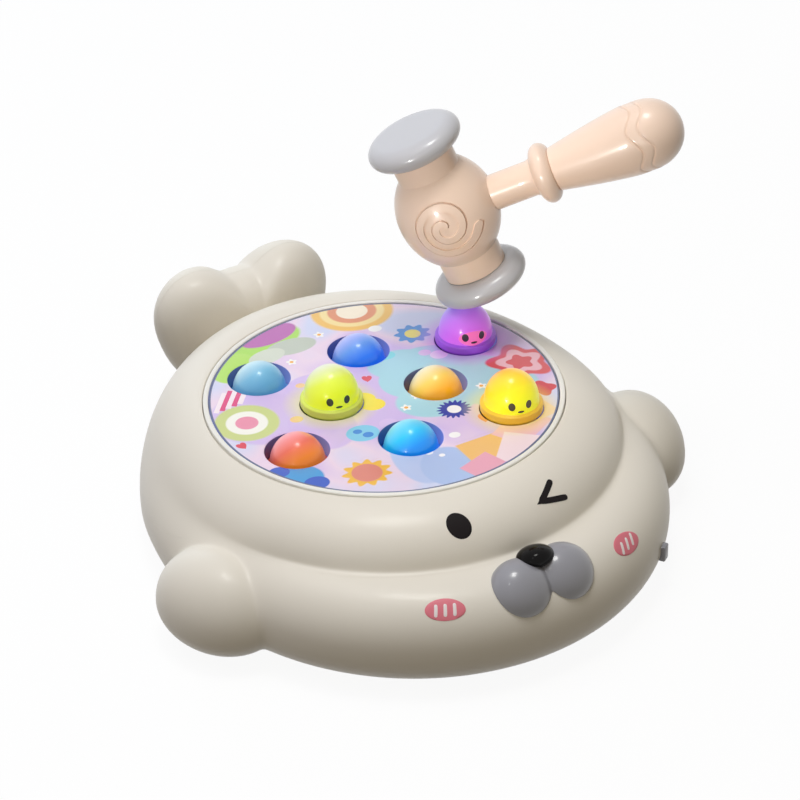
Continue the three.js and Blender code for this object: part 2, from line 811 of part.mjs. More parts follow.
function moleGuide() {
  let guide = solidOf(disc(bezelOuter, guideTop - guideThick, guideTop, deckSteps));
  for (const mole of moles) {
    const sleeve = disc(sleeveRadius, sleeveBottom, guideTop - gap, holeSteps);
    guide = guide.add(solidOf(sleeve.translate(mole.x, mole.y, 0)));
  }
  for (const mole of moles) {
    const bore = disc(sleeveBore, sleeveBottom - overrun, lipBottom, holeSteps);
    const lip = disc(lipBore, sleeveBottom - overrun, guideTop + overrun, holeSteps);
    guide = guide.subtract(solidOf(bore.translate(mole.x, mole.y, 0)));
    guide = guide.subtract(solidOf(lip.translate(mole.x, mole.y, 0)));
  }
  return guide;
}
add('mole_guide', moleGuide(), finish(0x3a3d44, 0.6), deck);

// Circuit board with a lamp under each mole
function circuitBoard() {
  let board = solidOf(disc(boardRadius, boardBottom, boardTop, wallSteps));
  for (const mole of moles) {
    const lamp = turned([
      [0, boardTop - boardThick / 2],
      [ledRadius, boardTop - boardThick / 2],
      [ledRadius, boardTop + ledHeight - ledRadius],
      [ledRadius * Math.SQRT1_2, boardTop + ledHeight - ledRadius * (1 - Math.SQRT1_2)],
      [0, boardTop + ledHeight],
    ], lampSteps);
    board = board.add(solidOf(lamp.translate(mole.x, mole.y, 0)));
  }
  return board;
}
add('circuit_board', circuitBoard(), finish(0x1f6a3d, 0.5), deck);

// Moles: a translucent cap on a steel ring, a return spring and a holding magnet each
const skirtLength = deckTop - lipBottom;

function moleCap() {
  const inner = skirtRadius - capWall;
  const profile = [[inner, -skirtLength], [skirtRadius, -skirtLength], [skirtRadius, 0], [flangeRadius, 0]];
  profile.push([flangeRadius, flangeThick - capWall / 2], [domeRadius, flangeThick]);
  for (let i = 0; i <= domeRows; i += 1) {
    const turn = Math.PI / 2 * i / domeRows;
    profile.push([domeRadius * Math.cos(turn), domeLift + domeRadius * Math.sin(turn)]);
  }
  for (let i = innerRows; i >= 0; i -= 1) {
    const turn = Math.PI / 2 * i / innerRows;
    profile.push([inner * Math.cos(turn), domeLift + inner * Math.sin(turn)]);
  }
  profile.push([inner, -skirtLength]);
  return turned(profile, holeSteps);
}

// One unbroken coil between two heights.
function coil(bottom, top) {
  const steps = springTurns * springSteps;
  const rings = [];
  const middles = [];
  for (let i = 0; i <= steps; i += 1) {
    const turn = 2 * Math.PI * i / springSteps;
    const z = bottom + springWire + (top - bottom - 2 * springWire) * i / steps;
    const out = new THREE.Vector3(Math.cos(turn), Math.sin(turn), 0);
    const middle = out.clone().multiplyScalar(springRadius);
    middle.z = z;
    middles.push(middle);
    const row = [];
    for (let side = 0; side < springSides; side += 1) {
      const roll = 2 * Math.PI * side / springSides;
      const point = middle.clone().addScaledVector(out, springWire * Math.cos(roll));
      point.z += springWire * Math.sin(roll);
      row.push(point);
    }
    rings.push(row);
  }
  return { geometry: ringsSolid(rings, middles[0], middles[steps]), middles };
}

// Least clear distance between the turns of a coil.
function coilGap(middles) {
  let least = Infinity;
  for (let i = 0; i < middles.length; i += 1) {
    for (let j = i + springSteps / 2 + 1; j < middles.length; j += 1) {
      least = Math.min(least, middles[i].distanceTo(middles[j]) - 2 * springWire);
    }
  }
  return least;
}

for (const mole of moles) {
  const lift = mole.up ? travel : 0;
  const glow = finish(mole.colour, 0.15, 0, 0.85);
  const cap = add(`mole_cap_${mole.id}`, moleCap(), glow, deck);
  cap.position.set(mole.x, mole.y, deckTop - travel + lift);
  const armatureBottom = armatureDown + lift;
  const steel = finish(0xb9bcc2, 0.3, 0.9);
  const plate = ring(armatureBore, armatureRadius, 0, armatureThick, smallSteps);
  const armature = add(`mole_armature_${mole.id}`, plate, steel, deck);
  armature.position.set(mole.x, mole.y, armatureBottom);
  const spring = coil(boardTop + gap, armatureBottom - gap);
  const wire = add(`mole_spring_${mole.id}`, spring.geometry, finish(0xc8cacf, 0.25, 1), deck);
  wire.position.set(mole.x, mole.y, 0);
  console.log(`spring ${mole.id}: least gap between turns ${coilGap(spring.middles).toFixed(2)} mm`);
  const winding = ring(magnetBore, magnetRadius, 0, magnetHeight, smallSteps);
  const magnet = add(`hold_magnet_${mole.id}`, winding, finish(0xb5622e, 0.45, 0.6), deck);
  magnet.position.set(mole.x, mole.y, boardTop + gap);
}

// Screws, turned with a flat recessed head that points down
function screw(grip) {
  return turned([
    [0, -screwHeadThick + screwRadius / 2],
    [screwRadius / 2, -screwHeadThick],
    [screwHeadRadius, -screwHeadThick],
    [screwHeadRadius, 0],
    [screwRadius, 0],
    [screwRadius, grip - screwRadius],
    [0, grip],
  ], screwSteps);
}
const zinc = finish(0x9ea1a6, 0.35, 0.9);
pillarTurns.forEach((turn, index) => {
  const at = around(pillarReach, turn);
  const mesh = add(`case_screw_${index + 1}`, screw(screwGrip), zinc);
  mesh.position.set(at.x, at.y, screwSeat - gap);
});

// Battery door with two tabs, a screw ear and its screw
function batteryDoor() {
  const doorTop = floorWall - gap;
  const earRadius = doorEarRadius - gap;
  const tabTop = floorWall + gap + doorTabThick;
  const tabFront = bayBack - doorLip;
  let door = solidOf(box(-bayHalfX + gap, bayHalfX - gap, bayFront + gap, bayBack - gap, 0, doorTop));
  const ear = disc(earRadius, 0, doorScrewSeat - gap, hammerSteps).translate(0, doorEarFront, 0);
  const neck = box(-earRadius, earRadius, doorEarFront, bayFront + overrun, 0, doorTop);
  door = door.add(solidOf(ear)).add(solidOf(neck));
  for (const middle of [doorTabSpread, -doorTabSpread]) {
    const [x0, x1] = [middle - doorTabWidth / 2, middle + doorTabWidth / 2];
    const tab = box(x0, x1, tabFront, bayBack + doorTabOut, floorWall + gap, tabTop);
    const root = box(x0, x1, tabFront, bayBack - gap, floorWall / 2, tabTop);
    door = door.add(solidOf(tab)).add(solidOf(root));
  }
  const screwWay = disc(screwRadius + gap, -overrun, doorScrewSeat + overrun, smallSteps);
  const headWay = disc(screwHeadRadius + gap, -overrun, screwHeadThick + 2 * gap, smallSteps);
  door = door.subtract(solidOf(screwWay.translate(0, doorEarFront, 0)));
  return door.subtract(solidOf(headWay.translate(0, doorEarFront, 0)));
}
add('battery_door', batteryDoor(), ivory);
const doorScrew = add('battery_door_screw', screw(doorScrewGrip), zinc);
doorScrew.position.set(0, doorEarFront, screwHeadThick + gap);

// Battery cells side by side along X, every other one turned round
function cell() {
  return turned([
    [0, 0],
    [cellRadius, 0],
    [cellRadius, cellLength],
    [cellTipRadius, cellLength],
    [cellTipRadius, cellLength + cellTipLength],
    [0, cellLength + cellTipLength],
  ], holeSteps);
}
for (let i = 0; i < cellCount; i += 1) {
  const way = i % 2 === 0 ? 1 : -1;
  const mesh = add(`battery_cell_${i + 1}`, cell(), finish(0x2c6fb0, 0.35, 0.4));
  mesh.rotation.y = way * Math.PI / 2;
  mesh.position.set(
    -way * (cellLength + cellTipLength) / 2,
    bayBehind + (i - (cellCount - 1) / 2) * cellPitch,
    cellMid,
  );
}

// Contact strips at both ends of the bay, with a pip against each cell
const nickel = finish(0xc4c6ca, 0.3, 0.9);
function contactStrip() {
  const outer = bayHalfX - gap;
  const tip = (cellLength + cellTipLength) / 2 + gap;
  const inner = outer - contactThick;
  const low = cellMid - cellTipRadius;
  const high = cellMid + cellTipRadius;
  let strip = solidOf(box(inner, outer, bayFront + gap, bayBack - gap, low, cellMid + cellRadius));
  for (let i = 0; i < cellCount; i += 1) {
    const y = bayBehind + (i - (cellCount - 1) / 2) * cellPitch;
    strip = strip.add(solidOf(box(tip, outer, y - cellTipRadius, y + cellTipRadius, low, high)));
  }
  return strip;
}
add('battery_contact_right', contactStrip(), nickel);
const leftContact = add('battery_contact_left', contactStrip(), nickel);
leftContact.rotation.z = Math.PI;
leftContact.position.y = 2 * bayBehind;

// Speaker in its collar over the floor grille
const speakerCone = turned([
  [0, floorWall + gap + speakerRimThick],
  [speakerRadius - speakerRimThick, floorWall + gap],
  [speakerRadius, floorWall + gap],
  [speakerRadius, floorWall + gap + speakerRimThick],
  [speakerMagnetRadius, floorWall + speakerHeight / 2],
  [speakerMagnetRadius, floorWall + speakerHeight],
  [0, floorWall + speakerHeight],
], hammerSteps);
add('speaker', speakerCone.translate(0, -speakerFront, 0), finish(0x2b2b2e, 0.6));

// Power switch: a sliding knob through the wall and its body on a bracket
const knobIn = skinAtSwitch - knobDeep;
const knobOut = skinAtSwitch + knobProud;
const bodyHalf = switchBodyLong / 2;
const knob = switchBlock(-knobWidth / 2, knobWidth / 2, knobIn, knobOut, knobLow, knobHigh);
add('switch_knob', knob, finish(0x8d8e96, 0.4));
const switchBody = switchBlock(-bodyHalf, bodyHalf, switchBack, switchInner, switchBodyLow, switchBodyTop);
add('switch_body', switchBody, finish(0x2b2b2e, 0.5));

// Toy hammer, standing with its lower cap on the raised mole at the back right
const hammer = new THREE.Group();
const capMid = neckEnd + gap + hammerCapThick / 2;
const struck = moles.find((mole) => mole.id === '3');
const domeAt = new THREE.Vector3(struck.x, struck.y, deckTop + domeLift);
domeAt.applyAxisAngle(new THREE.Vector3(0, 0, 1), -rad(deckTwist));
hammer.rotation.set(rad(hammerRoll), -rad(hammerRise), rad(hammerHeading), 'ZYX');
const touch = new THREE.Vector3(strikeAlong, strikeAcross, -capMid - hammerCapThick / 2 - gap - domeRadius);
hammer.position.copy(domeAt.sub(touch.applyEuler(hammer.rotation)));
part.add(hammer);

const peach = finish(0xe4c3a6, 0.35);
const spigotRadius = neckRadius - neckWall - gap;

function headProfile(inset) {
  const ball = headRadius - inset;
  const high = headHalfHeight - inset;
  const neck = neckRadius - (inset > 0 ? neckWall : 0);
  const end = neckEnd + (inset > 0 ? overrun : 0);
  const crease = Math.acos(neck / ball);
  const half = [];
  for (let i = 0; i <= headRows; i += 1) {
    const turn = crease * i / headRows;
    half.push([ball * Math.cos(turn), high * Math.sin(turn)]);
  }
  half.push([neck, end]);
  const low = half.slice(1).map(([r, z]) => [r, -z]).reverse();
  return [[0, -end], ...low, ...half, [0, end]];
}

function hammerHead() {
  const outer = solidOf(turned(headProfile(0), hammerSteps));
  const hollow = solidOf(turned(headProfile(headWall), hammerSteps));
  const wide = 2 * neckEnd;
  const shaftWay = disc(shaftRadius + gap, 0, wide, holeSteps).rotateY(Math.PI / 2);
  const shell = outer.subtract(hollow).subtract(solidOf(shaftWay));
  const front = shell.intersect(solidOf(box(-wide, wide, -wide, -gap / 2, -wide, wide)));
  const back = shell.intersect(solidOf(box(-wide, wide, gap / 2, wide, -wide, wide)));
  return { front, back };
}
const head = hammerHead();
add('hammer_head_front', head.front, peach, hammer);
add('hammer_head_back', head.back, peach, hammer);

function hammerCap() {
  const half = hammerCapThick / 2;
  const flat = hammerCapRadius - hammerCapRound;
  const profile = [[0, -half - spigotLength], [spigotRadius, -half - spigotLength], [spigotRadius, -half]];
  for (let i = 0; i <= capRows; i += 1) {
    const turn = -Math.PI / 2 + Math.PI * i / capRows;
    profile.push([flat + hammerCapRound * Math.cos(turn), half * Math.sin(turn)]);
  }
  profile.push([0, half]);
  return turned(profile, hammerSteps);
}
const grey = finish(0xbcbcc3, 0.25);
const topCap = add('hammer_cap_top', hammerCap(), grey, hammer);
topCap.position.z = capMid;
const lowCap = add('hammer_cap_bottom', hammerCap(), grey, hammer);
lowCap.position.z = -capMid;
lowCap.rotation.x = Math.PI;

const gripStart = collarPlace + collarHalfWidth;
const handleProfile = [[0, shaftStart], [shaftRadius, shaftStart]];
handleProfile.push([shaftRadius, collarPlace - collarHalfWidth]);
for (const turn of collarTurns) {
  handleProfile.push([
    shaftRadius + (collarRadius - shaftRadius) * Math.sin(rad(turn)),
    collarPlace - collarHalfWidth * Math.cos(rad(turn)),
  ]);
}
for (const [along, out] of gripShares) {
  handleProfile.push([gripRadius * out, gripStart + (gripEnd - gripStart) * along]);
}
handleProfile.push([0, gripEnd]);
add('hammer_handle', turned(handleProfile, gripSteps).rotateY(Math.PI / 2), peach, hammer);

export default part;
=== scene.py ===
import bpy
import numpy as np
from math import acos, atan2, cos, hypot, pi, radians, sin, sqrt
from mathutils import Matrix, Vector


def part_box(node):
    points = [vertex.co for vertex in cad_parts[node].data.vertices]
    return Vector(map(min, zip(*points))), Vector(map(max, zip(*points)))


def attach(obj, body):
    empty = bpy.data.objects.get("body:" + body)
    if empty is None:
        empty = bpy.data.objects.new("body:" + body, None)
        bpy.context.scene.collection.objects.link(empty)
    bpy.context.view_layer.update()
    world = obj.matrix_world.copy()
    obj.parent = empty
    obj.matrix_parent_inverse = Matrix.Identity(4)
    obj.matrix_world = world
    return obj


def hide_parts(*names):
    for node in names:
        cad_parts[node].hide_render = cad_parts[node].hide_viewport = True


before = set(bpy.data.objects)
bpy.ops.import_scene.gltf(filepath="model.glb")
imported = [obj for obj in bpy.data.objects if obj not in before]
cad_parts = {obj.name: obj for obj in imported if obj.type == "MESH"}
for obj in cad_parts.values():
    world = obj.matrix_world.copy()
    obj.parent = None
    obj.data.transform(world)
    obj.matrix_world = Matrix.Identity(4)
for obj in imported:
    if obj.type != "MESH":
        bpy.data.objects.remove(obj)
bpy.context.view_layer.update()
bpy.ops.object.select_all(action="DESELECT")
scene = bpy.context.scene
scene.view_settings.view_transform = "Standard"

# Camera
# It stands in front of the cheek on the picture's left and looks down at the middle of the play deck.
deck_middle = Vector((0, 0, 0.0704))
camera_swing, camera_rise, camera_roll = radians(-30.6), radians(32.65), radians(-1.66)
camera_far = 1.288
towards = Vector((sin(camera_swing) * cos(camera_rise), -cos(camera_swing) * cos(camera_rise), sin(camera_rise)))
level = Vector((cos(camera_swing), sin(camera_swing), 0))
upright = towards.cross(level)
across = level * cos(camera_roll) + upright * sin(camera_roll)
above = upright * cos(camera_roll) - level * sin(camera_roll)
lens = bpy.data.cameras.new("camera")
lens.sensor_width, lens.lens = 36, 120.8
lens.shift_x, lens.shift_y = 0.0201, -0.009
camera = bpy.data.objects.new("camera", lens)
scene.collection.objects.link(camera)
stand = Matrix((across, above, towards)).transposed().to_4x4()
stand.translation = deck_middle + towards * camera_far
camera.matrix_world = stand
scene.camera = camera

# Light
# One large soft disc overhead with a smaller one in it, weaker ones behind, at the left and in front, a beam that
# reaches the hammer from the left, two small lamps for glints, and a dim warm room. The floor and the room behind
# are white to the camera, and the floor keeps the object's shadow.


def put(tree, kind, sockets=(), **settings):
    """A shader node with its settings, each named or numbered socket set to a value or wired to another's output."""
    made = tree.nodes.new("ShaderNode" + kind)
    for name, value in settings.items():
        setattr(made, name, value)
    for key, value in dict(sockets).items():
        if isinstance(value, bpy.types.NodeSocket):
            tree.links.new(value, made.inputs[key])
        else:
            made.inputs[key].default_value = value
    return made


def maths(tree, operation, *values):
    """The result of one maths node."""
    return put(tree, "Math", enumerate(values), operation=operation).outputs[0]


def seen_straight(tree):
    """1 where the camera, a gloss or a clear piece looks, and 0 where light only bounces."""
    path = put(tree, "LightPath").outputs
    direct = maths(tree, "MAXIMUM", path["Is Camera Ray"], path["Is Glossy Ray"])
    return maths(tree, "MAXIMUM", direct, path["Is Transmission Ray"])


def blank_tree(owner):
    """The emptied node tree of a world or a material."""
    owner.use_nodes = True
    owner.node_tree.nodes.clear()
    return owner.node_tree


room = bpy.data.worlds.new("room")
scene.world = room
tree = blank_tree(room)
dim = put(tree, "Background", {"Color": (1, 0.9, 0.7, 1), "Strength": 0.2})
white = put(tree, "Background", {"Color": (1, 1, 1, 1), "Strength": 1})
lit_room = put(tree, "MixShader", {0: seen_straight(tree), 1: dim.outputs[0], 2: white.outputs[0]})
put(tree, "OutputWorld", {0: lit_room.outputs[0]})


def hang(lamp, place, aim):
    """Hangs a lamp in its place, turned towards its aim."""
    holder = bpy.data.objects.new(lamp.name, lamp)
    scene.collection.objects.link(holder)
    holder.location = place
    holder.rotation_euler = (Vector(aim) - Vector(place)).to_track_quat("-Z", "Y").to_euler()
    return holder


def panel(name, place, size, watts, colour, mirrored=False, aim=(0, 0, 0.05)):
    """A soft round lamp, which a gloss shows only where it is mirrored."""
    lamp = bpy.data.lights.new(name, "AREA")
    lamp.shape = "DISK"
    lamp.size, lamp.energy, lamp.color = size, watts, colour
    hang(lamp, place, aim).visible_glossy = mirrored


panel("key", (-0.35, 0.35, 1.9), 1.5, 18, (0.88, 0.9, 1))
panel("top", (0, 0, 1.6), 0.4, 5.5, (1, 1, 0.96), True)
panel("back", (0.3, 1.8, 0.6), 0.9, 8, (0.6, 0.8, 1))
panel("left", (-1.3, 0.9, 1.2), 1.0, 3, (0.7, 0.75, 1))
panel("front", (-1.2, -1.1, 1.2), 1.0, 2.0, (1, 0.95, 0.9), aim=(0, 0, 0.15))
beam = bpy.data.lights.new("hammer_beam", "SPOT")
beam.energy, beam.color, beam.shadow_soft_size = 34, (1, 0.97, 0.94), 0.06
beam.spot_size, beam.spot_blend = radians(8.4), 0.4
hang(beam, (-0.95, -0.75, 0.3), (0.09, 0, 0.15))
for step in (-1, 1):
    panel("glint", (-0.87 + 0.09 * step, -0.5, 1.73 - 0.07 * step), 0.09, 0.35, (1, 1, 1), True)

bpy.ops.mesh.primitive_plane_add(size=8)
floor = bpy.context.object
floor.name = "floor"
pale_floor = bpy.data.materials.new("pale_floor")
tree = blank_tree(pale_floor)
bounce = put(tree, "BsdfDiffuse", {"Color": (0.17, 0.14, 0.1, 1)})
floor_white = put(tree, "BsdfDiffuse", {"Color": (1, 1, 1, 1)})
bright = put(tree, "Emission", {"Color": (1, 1, 1, 1), "Strength": 1})
shown = put(tree, "MixShader", {0: 0.07, 1: bright.outputs[0], 2: floor_white.outputs[0]})
lit_floor = put(tree, "MixShader", {0: seen_straight(tree), 1: bounce.outputs[0], 2: shown.outputs[0]})
put(tree, "OutputMaterial", {0: lit_floor.outputs[0]})
floor.data.materials.append(pale_floor)

# Upper shell
# The seal's head roll, moulded in cream satin plastic 2.4 mm thick. Its skin is a superellipse roll joined softly to
# the chin roll below and drawn out over the flippers, and a shelf inside the round well carries the deck.
core_radius, core_height = 0.06, 0.0404
body_top = 0.0709
shell_wall, floor_wall = 0.0024, 0.0026
upper_roll = dict(half_width=0.116, half_length=0.124, forward=-0.0055, round=0.0371, power=2.04)
upper_mid_front, upper_mid_back, upper_under = 0.0442, 0.0137, 0.023
lower_roll = dict(half_width=0.1239, half_length=0.1299, forward=0.0201, round=0.0257, power=2.14)
lower_mid, lower_over = 0.0221, 0.0263
roll_blend = 16
flipper_turn, flipper_reach, flipper_mid = radians(69.4), 0.125, 0.0193
flipper_along, flipper_across, flipper_high = 0.0249, 0.0324, 0.0204
flipper_top = 0.028
flipper_heart, flipper_blend = 0.108, 40
well_radius, well_wall, shelf_inner = 0.0872, 0.0024, 0.0792
shelf_bottom, shelf_top = 0.0528, 0.0552
rim_round, seam_slit = 0.0007, 0.0007
rim_climb, under_rim_climb, foot_climb = radians(46.5), radians(42.8), radians(-56)
seam_front, seam_back = radians(8), radians(-14)


def ease(share):
    """A share held between 0 and 1, eased at both ends."""
    share = np.clip(share, 0, 1)
    return share * share * (3 - 2 * share)


def roll_edge(roll, turn):
    """Plan distance from the deck's axis to a roll's ellipse."""
    a = (np.sin(turn) / roll["half_width"]) ** 2 + (np.cos(turn) / roll["half_length"]) ** 2
    b = -2 * np.cos(turn) * roll["forward"] / roll["half_length"] ** 2
    c = (roll["forward"] / roll["half_length"]) ** 2 - 1
    return (-b + np.sqrt(b * b - 4 * a * c)) / (2 * a)


def roll_reach(roll, turn, climb, mid, over, under, inset):
    """Distance from the core ring to a roll's skin along a climb, found by halving."""
    edge = roll_edge(roll, turn)
    inside = np.zeros(np.broadcast(turn, climb).shape)
    outside = inside + 2 * edge
    for _ in range(40):
        middle = (inside + outside) / 2
        r = core_radius + middle * np.cos(climb)
        z = core_height + middle * np.sin(climb)
        out = np.maximum(0, (r - edge + roll["round"]) / (roll["round"] - inset))
        up = np.where(z > mid, (z - mid) / (over - inset), (mid - z) / (under - inset))
        held = (up <= 1) & (out ** roll["power"] + np.clip(up, 0, 1) ** roll["power"] < 1)
        inside, outside = np.where(held, middle, inside), np.where(held, outside, middle)
    return inside


def drawn_out(points, inset):
    """Points of the rolls' skin, drawn out over both flippers."""
    along, wide = flipper_along - inset, flipper_across - inset
    for side in (-1, 1):
        way = np.array([sin(side * flipper_turn), -cos(side * flipper_turn), 0])
        beside = np.array([cos(side * flipper_turn), sin(side * flipper_turn), 0])
        heart = way * flipper_heart + np.array([0, 0, flipper_mid])
        ray = points - heart
        reach = np.linalg.norm(ray, axis=-1)
        ray = ray / reach[..., None]
        high = np.where(ray[..., 2] > 0, flipper_top, flipper_high) - inset
        start = (flipper_heart - flipper_reach) / along
        step = ray @ way / along
        a = step ** 2 + (ray @ beside / wide) ** 2 + (ray[..., 2] / high) ** 2
        b = 2 * step * start
        fin = (-b + np.sqrt(b * b - 4 * a * (start ** 2 - 1))) / (2 * a)
        points = heart + ray * ((reach ** flipper_blend + fin ** flipper_blend) ** (1 / flipper_blend))[..., None]
    points[..., 2] = np.maximum(points[..., 2], floor_wall if inset > 0 else -max(-inset, 0))
    return points


def skin(turn, climb, inset=0.0):
    """Points of the seal's skin, or of a skin that lies inset deeper."""
    turn, climb = np.broadcast_arrays(turn, climb)
    back = ease((abs(turn) - radians(60)) / radians(60))
    mid = upper_mid_front + (upper_mid_back - upper_mid_front) * back
    under = upper_under * (1 - back) + mid * back
    upper = roll_reach(upper_roll, turn, climb, mid, body_top - mid, under, inset)
    lower = roll_reach(lower_roll, turn, climb, lower_mid, lower_over, lower_mid, inset)
    reach = upper * (1 + (lower / upper) ** roll_blend) ** (1 / roll_blend)
    r = core_radius + reach * np.cos(climb)
    z = np.clip(core_height + reach * np.sin(climb), floor_wall if inset > 0 else inset, body_top - inset)
    return drawn_out(np.stack([r * np.sin(turn), -r * np.cos(turn), z], -1), inset)


def ring_row(radius, height):
    """One row of points once round the deck's axis."""
    return np.stack([radius * np.sin(turns), -radius * np.cos(turns), turns * 0 + height], -1)


def skin_piece(name, rows):
    """A closed body from a grid primitive, each of its rows laid once round."""
    points = np.asarray(rows, np.float32)
    bpy.ops.mesh.primitive_grid_add(x_subdivisions=points.shape[1] - 1, y_subdivisions=points.shape[0] - 1)
    piece = bpy.context.object
    piece.name = piece.data.name = name
    piece.data.vertices.foreach_set("co", points.ravel())
    bpy.ops.object.mode_set(mode="EDIT")
    bpy.ops.mesh.select_all(action="SELECT")
    bpy.ops.mesh.remove_doubles(threshold=2e-6)
    bpy.ops.mesh.normals_make_consistent(inside=False)
    bpy.ops.object.mode_set(mode="OBJECT")
    return piece


def smooth(piece, degrees=38):
    """Smooth shading, except over edges sharper than an angle."""
    bpy.ops.object.select_all(action="DESELECT")
    piece.select_set(True)
    bpy.context.view_layer.objects.active = piece
    bpy.ops.object.shade_smooth_by_angle(angle=radians(degrees))
    piece.select_set(False)


def joined(piece, tool, operation):
    """Joins, cuts or crosses a piece with a tool body, which is used up."""
    change = piece.modifiers.new(operation, "BOOLEAN")
    change.operation, change.solver, change.object = operation, "MANIFOLD", tool
    bpy.context.view_layer.objects.active = piece
    bpy.ops.object.modifier_apply(modifier=change.name)
    bpy.data.objects.remove(tool)
    return piece


crowd = np.linspace(-pi, pi, 4001)
density = 1 + 1.6 * np.exp(-((abs(crowd) - flipper_turn) / radians(13)) ** 2)
filled = np.concatenate([[0], np.cumsum((density[1:] + density[:-1]) / 2)])
turns = np.interp(np.linspace(0, filled[-1], 289), filled, crowd)
seam = seam_front + (seam_back - seam_front) * ease((abs(turns) - radians(60)) / radians(55))

rows = [ring_row(shelf_inner, shelf_bottom), ring_row(shelf_inner, shelf_top), ring_row(well_radius, shelf_top)]
rim_height = skin(turns, rim_climb)[:, 2]
for bend in np.linspace(0, pi / 2, 6):
    radius = well_radius + rim_round * (1 - cos(bend))
    rows.append(ring_row(radius, rim_height - rim_round * (1 - sin(bend))))
for share in 1 - (1 - np.linspace(0, 1, 70)) ** 1.6:
    rows.append(skin(turns, rim_climb * (1 - share) + seam * share))
for share in np.linspace(0, 1, 22):
    rows.append(skin(turns, seam * (1 - share) + under_rim_climb * share, shell_wall))
rows += [ring_row(well_radius + well_wall, shelf_bottom), rows[0]]
upper_shell = skin_piece("seal_head_shell", rows)
smooth(upper_shell)


def tint(red, green, blue):
    """A linear colour from the eye's 0 to 255 values."""
    channels = [c / 255 for c in (red, green, blue)]
    return tuple(c / 12.92 if c <= 0.04045 else ((c + 0.055) / 1.055) ** 2.4 for c in channels) + (1,)


def new_group(name, takes, gives):
    """An empty shader node group with its named sockets."""
    kinds = dict(Colour="NodeSocketColor", Vector="NodeSocketVector", Normal="NodeSocketVector")
    made = bpy.data.node_groups.new(name, "ShaderNodeTree")
    for words, way in ((takes, "INPUT"), (gives, "OUTPUT")):
        for word in words:
            kind = kinds.get(word.split()[0], "NodeSocketFloat")
            made.interface.new_socket(name=word, in_out=way, socket_type=kind)
    return made, made.nodes.new("NodeGroupInput").outputs, made.nodes.new("NodeGroupOutput")


moulded, takes, gives = new_group(
    "moulded_plastic", ["Colour", "Mottle", "Grain", "Roughness"], ["Colour", "Roughness", "Normal"])
spot = put(moulded, "TexCoord").outputs["Object"]
cloud = put(moulded, "TexNoise", {"Vector": spot, "Scale": 22, "Detail": 3}).outputs["Fac"]
fine = put(moulded, "TexNoise", {"Vector": spot, "Scale": 900, "Detail": 2, "Roughness": 0.6}).outputs["Fac"]
worn = put(moulded, "TexNoise", {"Vector": spot, "Scale": 130, "Detail": 1}).outputs["Fac"]
swing = maths(moulded, "MULTIPLY_ADD", maths(moulded, "SUBTRACT", cloud, 0.5), takes["Mottle"], 1.0)
shaded = put(moulded, "HueSaturation", {"Color": takes["Colour"], "Value": swing}).outputs[0]
rough = maths(moulded, "MULTIPLY_ADD", maths(moulded, "SUBTRACT", worn, 0.5), takes["Grain"], takes["Roughness"])
height = maths(moulded, "MULTIPLY", fine, takes["Grain"])
relief = put(moulded, "Bump", {"Height": height, "Distance": 0.0001, "Strength": 1}).outputs[0]
for key, wire in (("Colour", shaded), ("Roughness", rough), ("Normal", relief)):
    moulded.links.new(wire, gives.inputs[key])


def plastic(name, colour, roughness, coat=0.0, mottle=0.05, grain=0.1, **sockets):
    """A moulded plastic finish. Returns the material, its tree, its group node and its shader."""
    finish = bpy.data.materials.new(name)
    tree = blank_tree(finish)
    skin_of = put(tree, "Group", node_tree=moulded)
    for key, value in dict(Colour=colour, Mottle=mottle, Grain=grain, Roughness=roughness).items():
        skin_of.inputs[key].default_value = value
    shader = put(tree, "BsdfPrincipled", {
        "Base Color": skin_of.outputs["Colour"], "Roughness": skin_of.outputs["Roughness"],
        "Normal": skin_of.outputs["Normal"], "Coat Weight": coat, "Coat Roughness": 0.12})
    for key, value in sockets.items():
        shader.inputs[key.replace("_", " ")].default_value = value
    put(tree, "OutputMaterial", {0: shader.outputs[0]})
    return finish, tree, skin_of, shader


def dress(piece, finish, body, node=None):
    """Gives a piece its one finish and its body, and hides the frame's node that it stands for."""
    piece.data.materials.clear()
    piece.data.materials.append(finish)
    piece.data.polygons.foreach_set("material_index", [0] * len(piece.data.polygons))
    if node:
        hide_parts(node)
    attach(piece, body)


cream = plastic("cream_satin", tint(233, 227, 214), 0.42, coat=0.12, mottle=0.03)[0]
dress(upper_shell, cream, "seal", "upper_shell")

# Lower shell
# The chin roll with both flippers and the flat floor it rests on, moulded in the same cream plastic. Its floor has
# the battery opening, the speaker slots and the screw wells. The cut for the power switch, in the cheek on the
# picture's right, ends about 3 mm under the skin there, so its slot isn't open.
flat_radius = 0.08
rows = [ring_row(radius, 0) for radius in np.linspace(0, flat_radius, 5)]
seam_under = seam - seam_slit
for share in 1 - (1 - np.linspace(0, 1, 84)) ** 1.6:
    rows.append(skin(turns, foot_climb * (1 - share) + seam_under * share))
for share in np.linspace(0, 1, 30):
    rows.append(skin(turns, seam_under * (1 - share) + foot_climb * share, shell_wall))
rows += [ring_row(radius, floor_wall) for radius in np.linspace(flat_radius, 0, 5)]
lower_shell = skin_piece("seal_chin_shell", rows)


def block(x0, x1, y0, y1, z0, z1, turn=0.0):
    """A cube primitive between two corners, turned about the deck's axis."""
    bpy.ops.mesh.primitive_cube_add(size=1, location=((x0 + x1) / 2, (y0 + y1) / 2, (z0 + z1) / 2))
    made = bpy.context.object
    made.scale = (x1 - x0, y1 - y0, z1 - z0)
    bpy.ops.object.transform_apply(location=True, rotation=True, scale=True)
    made.data.transform(Matrix.Rotation(turn, 4, "Z"))
    return made


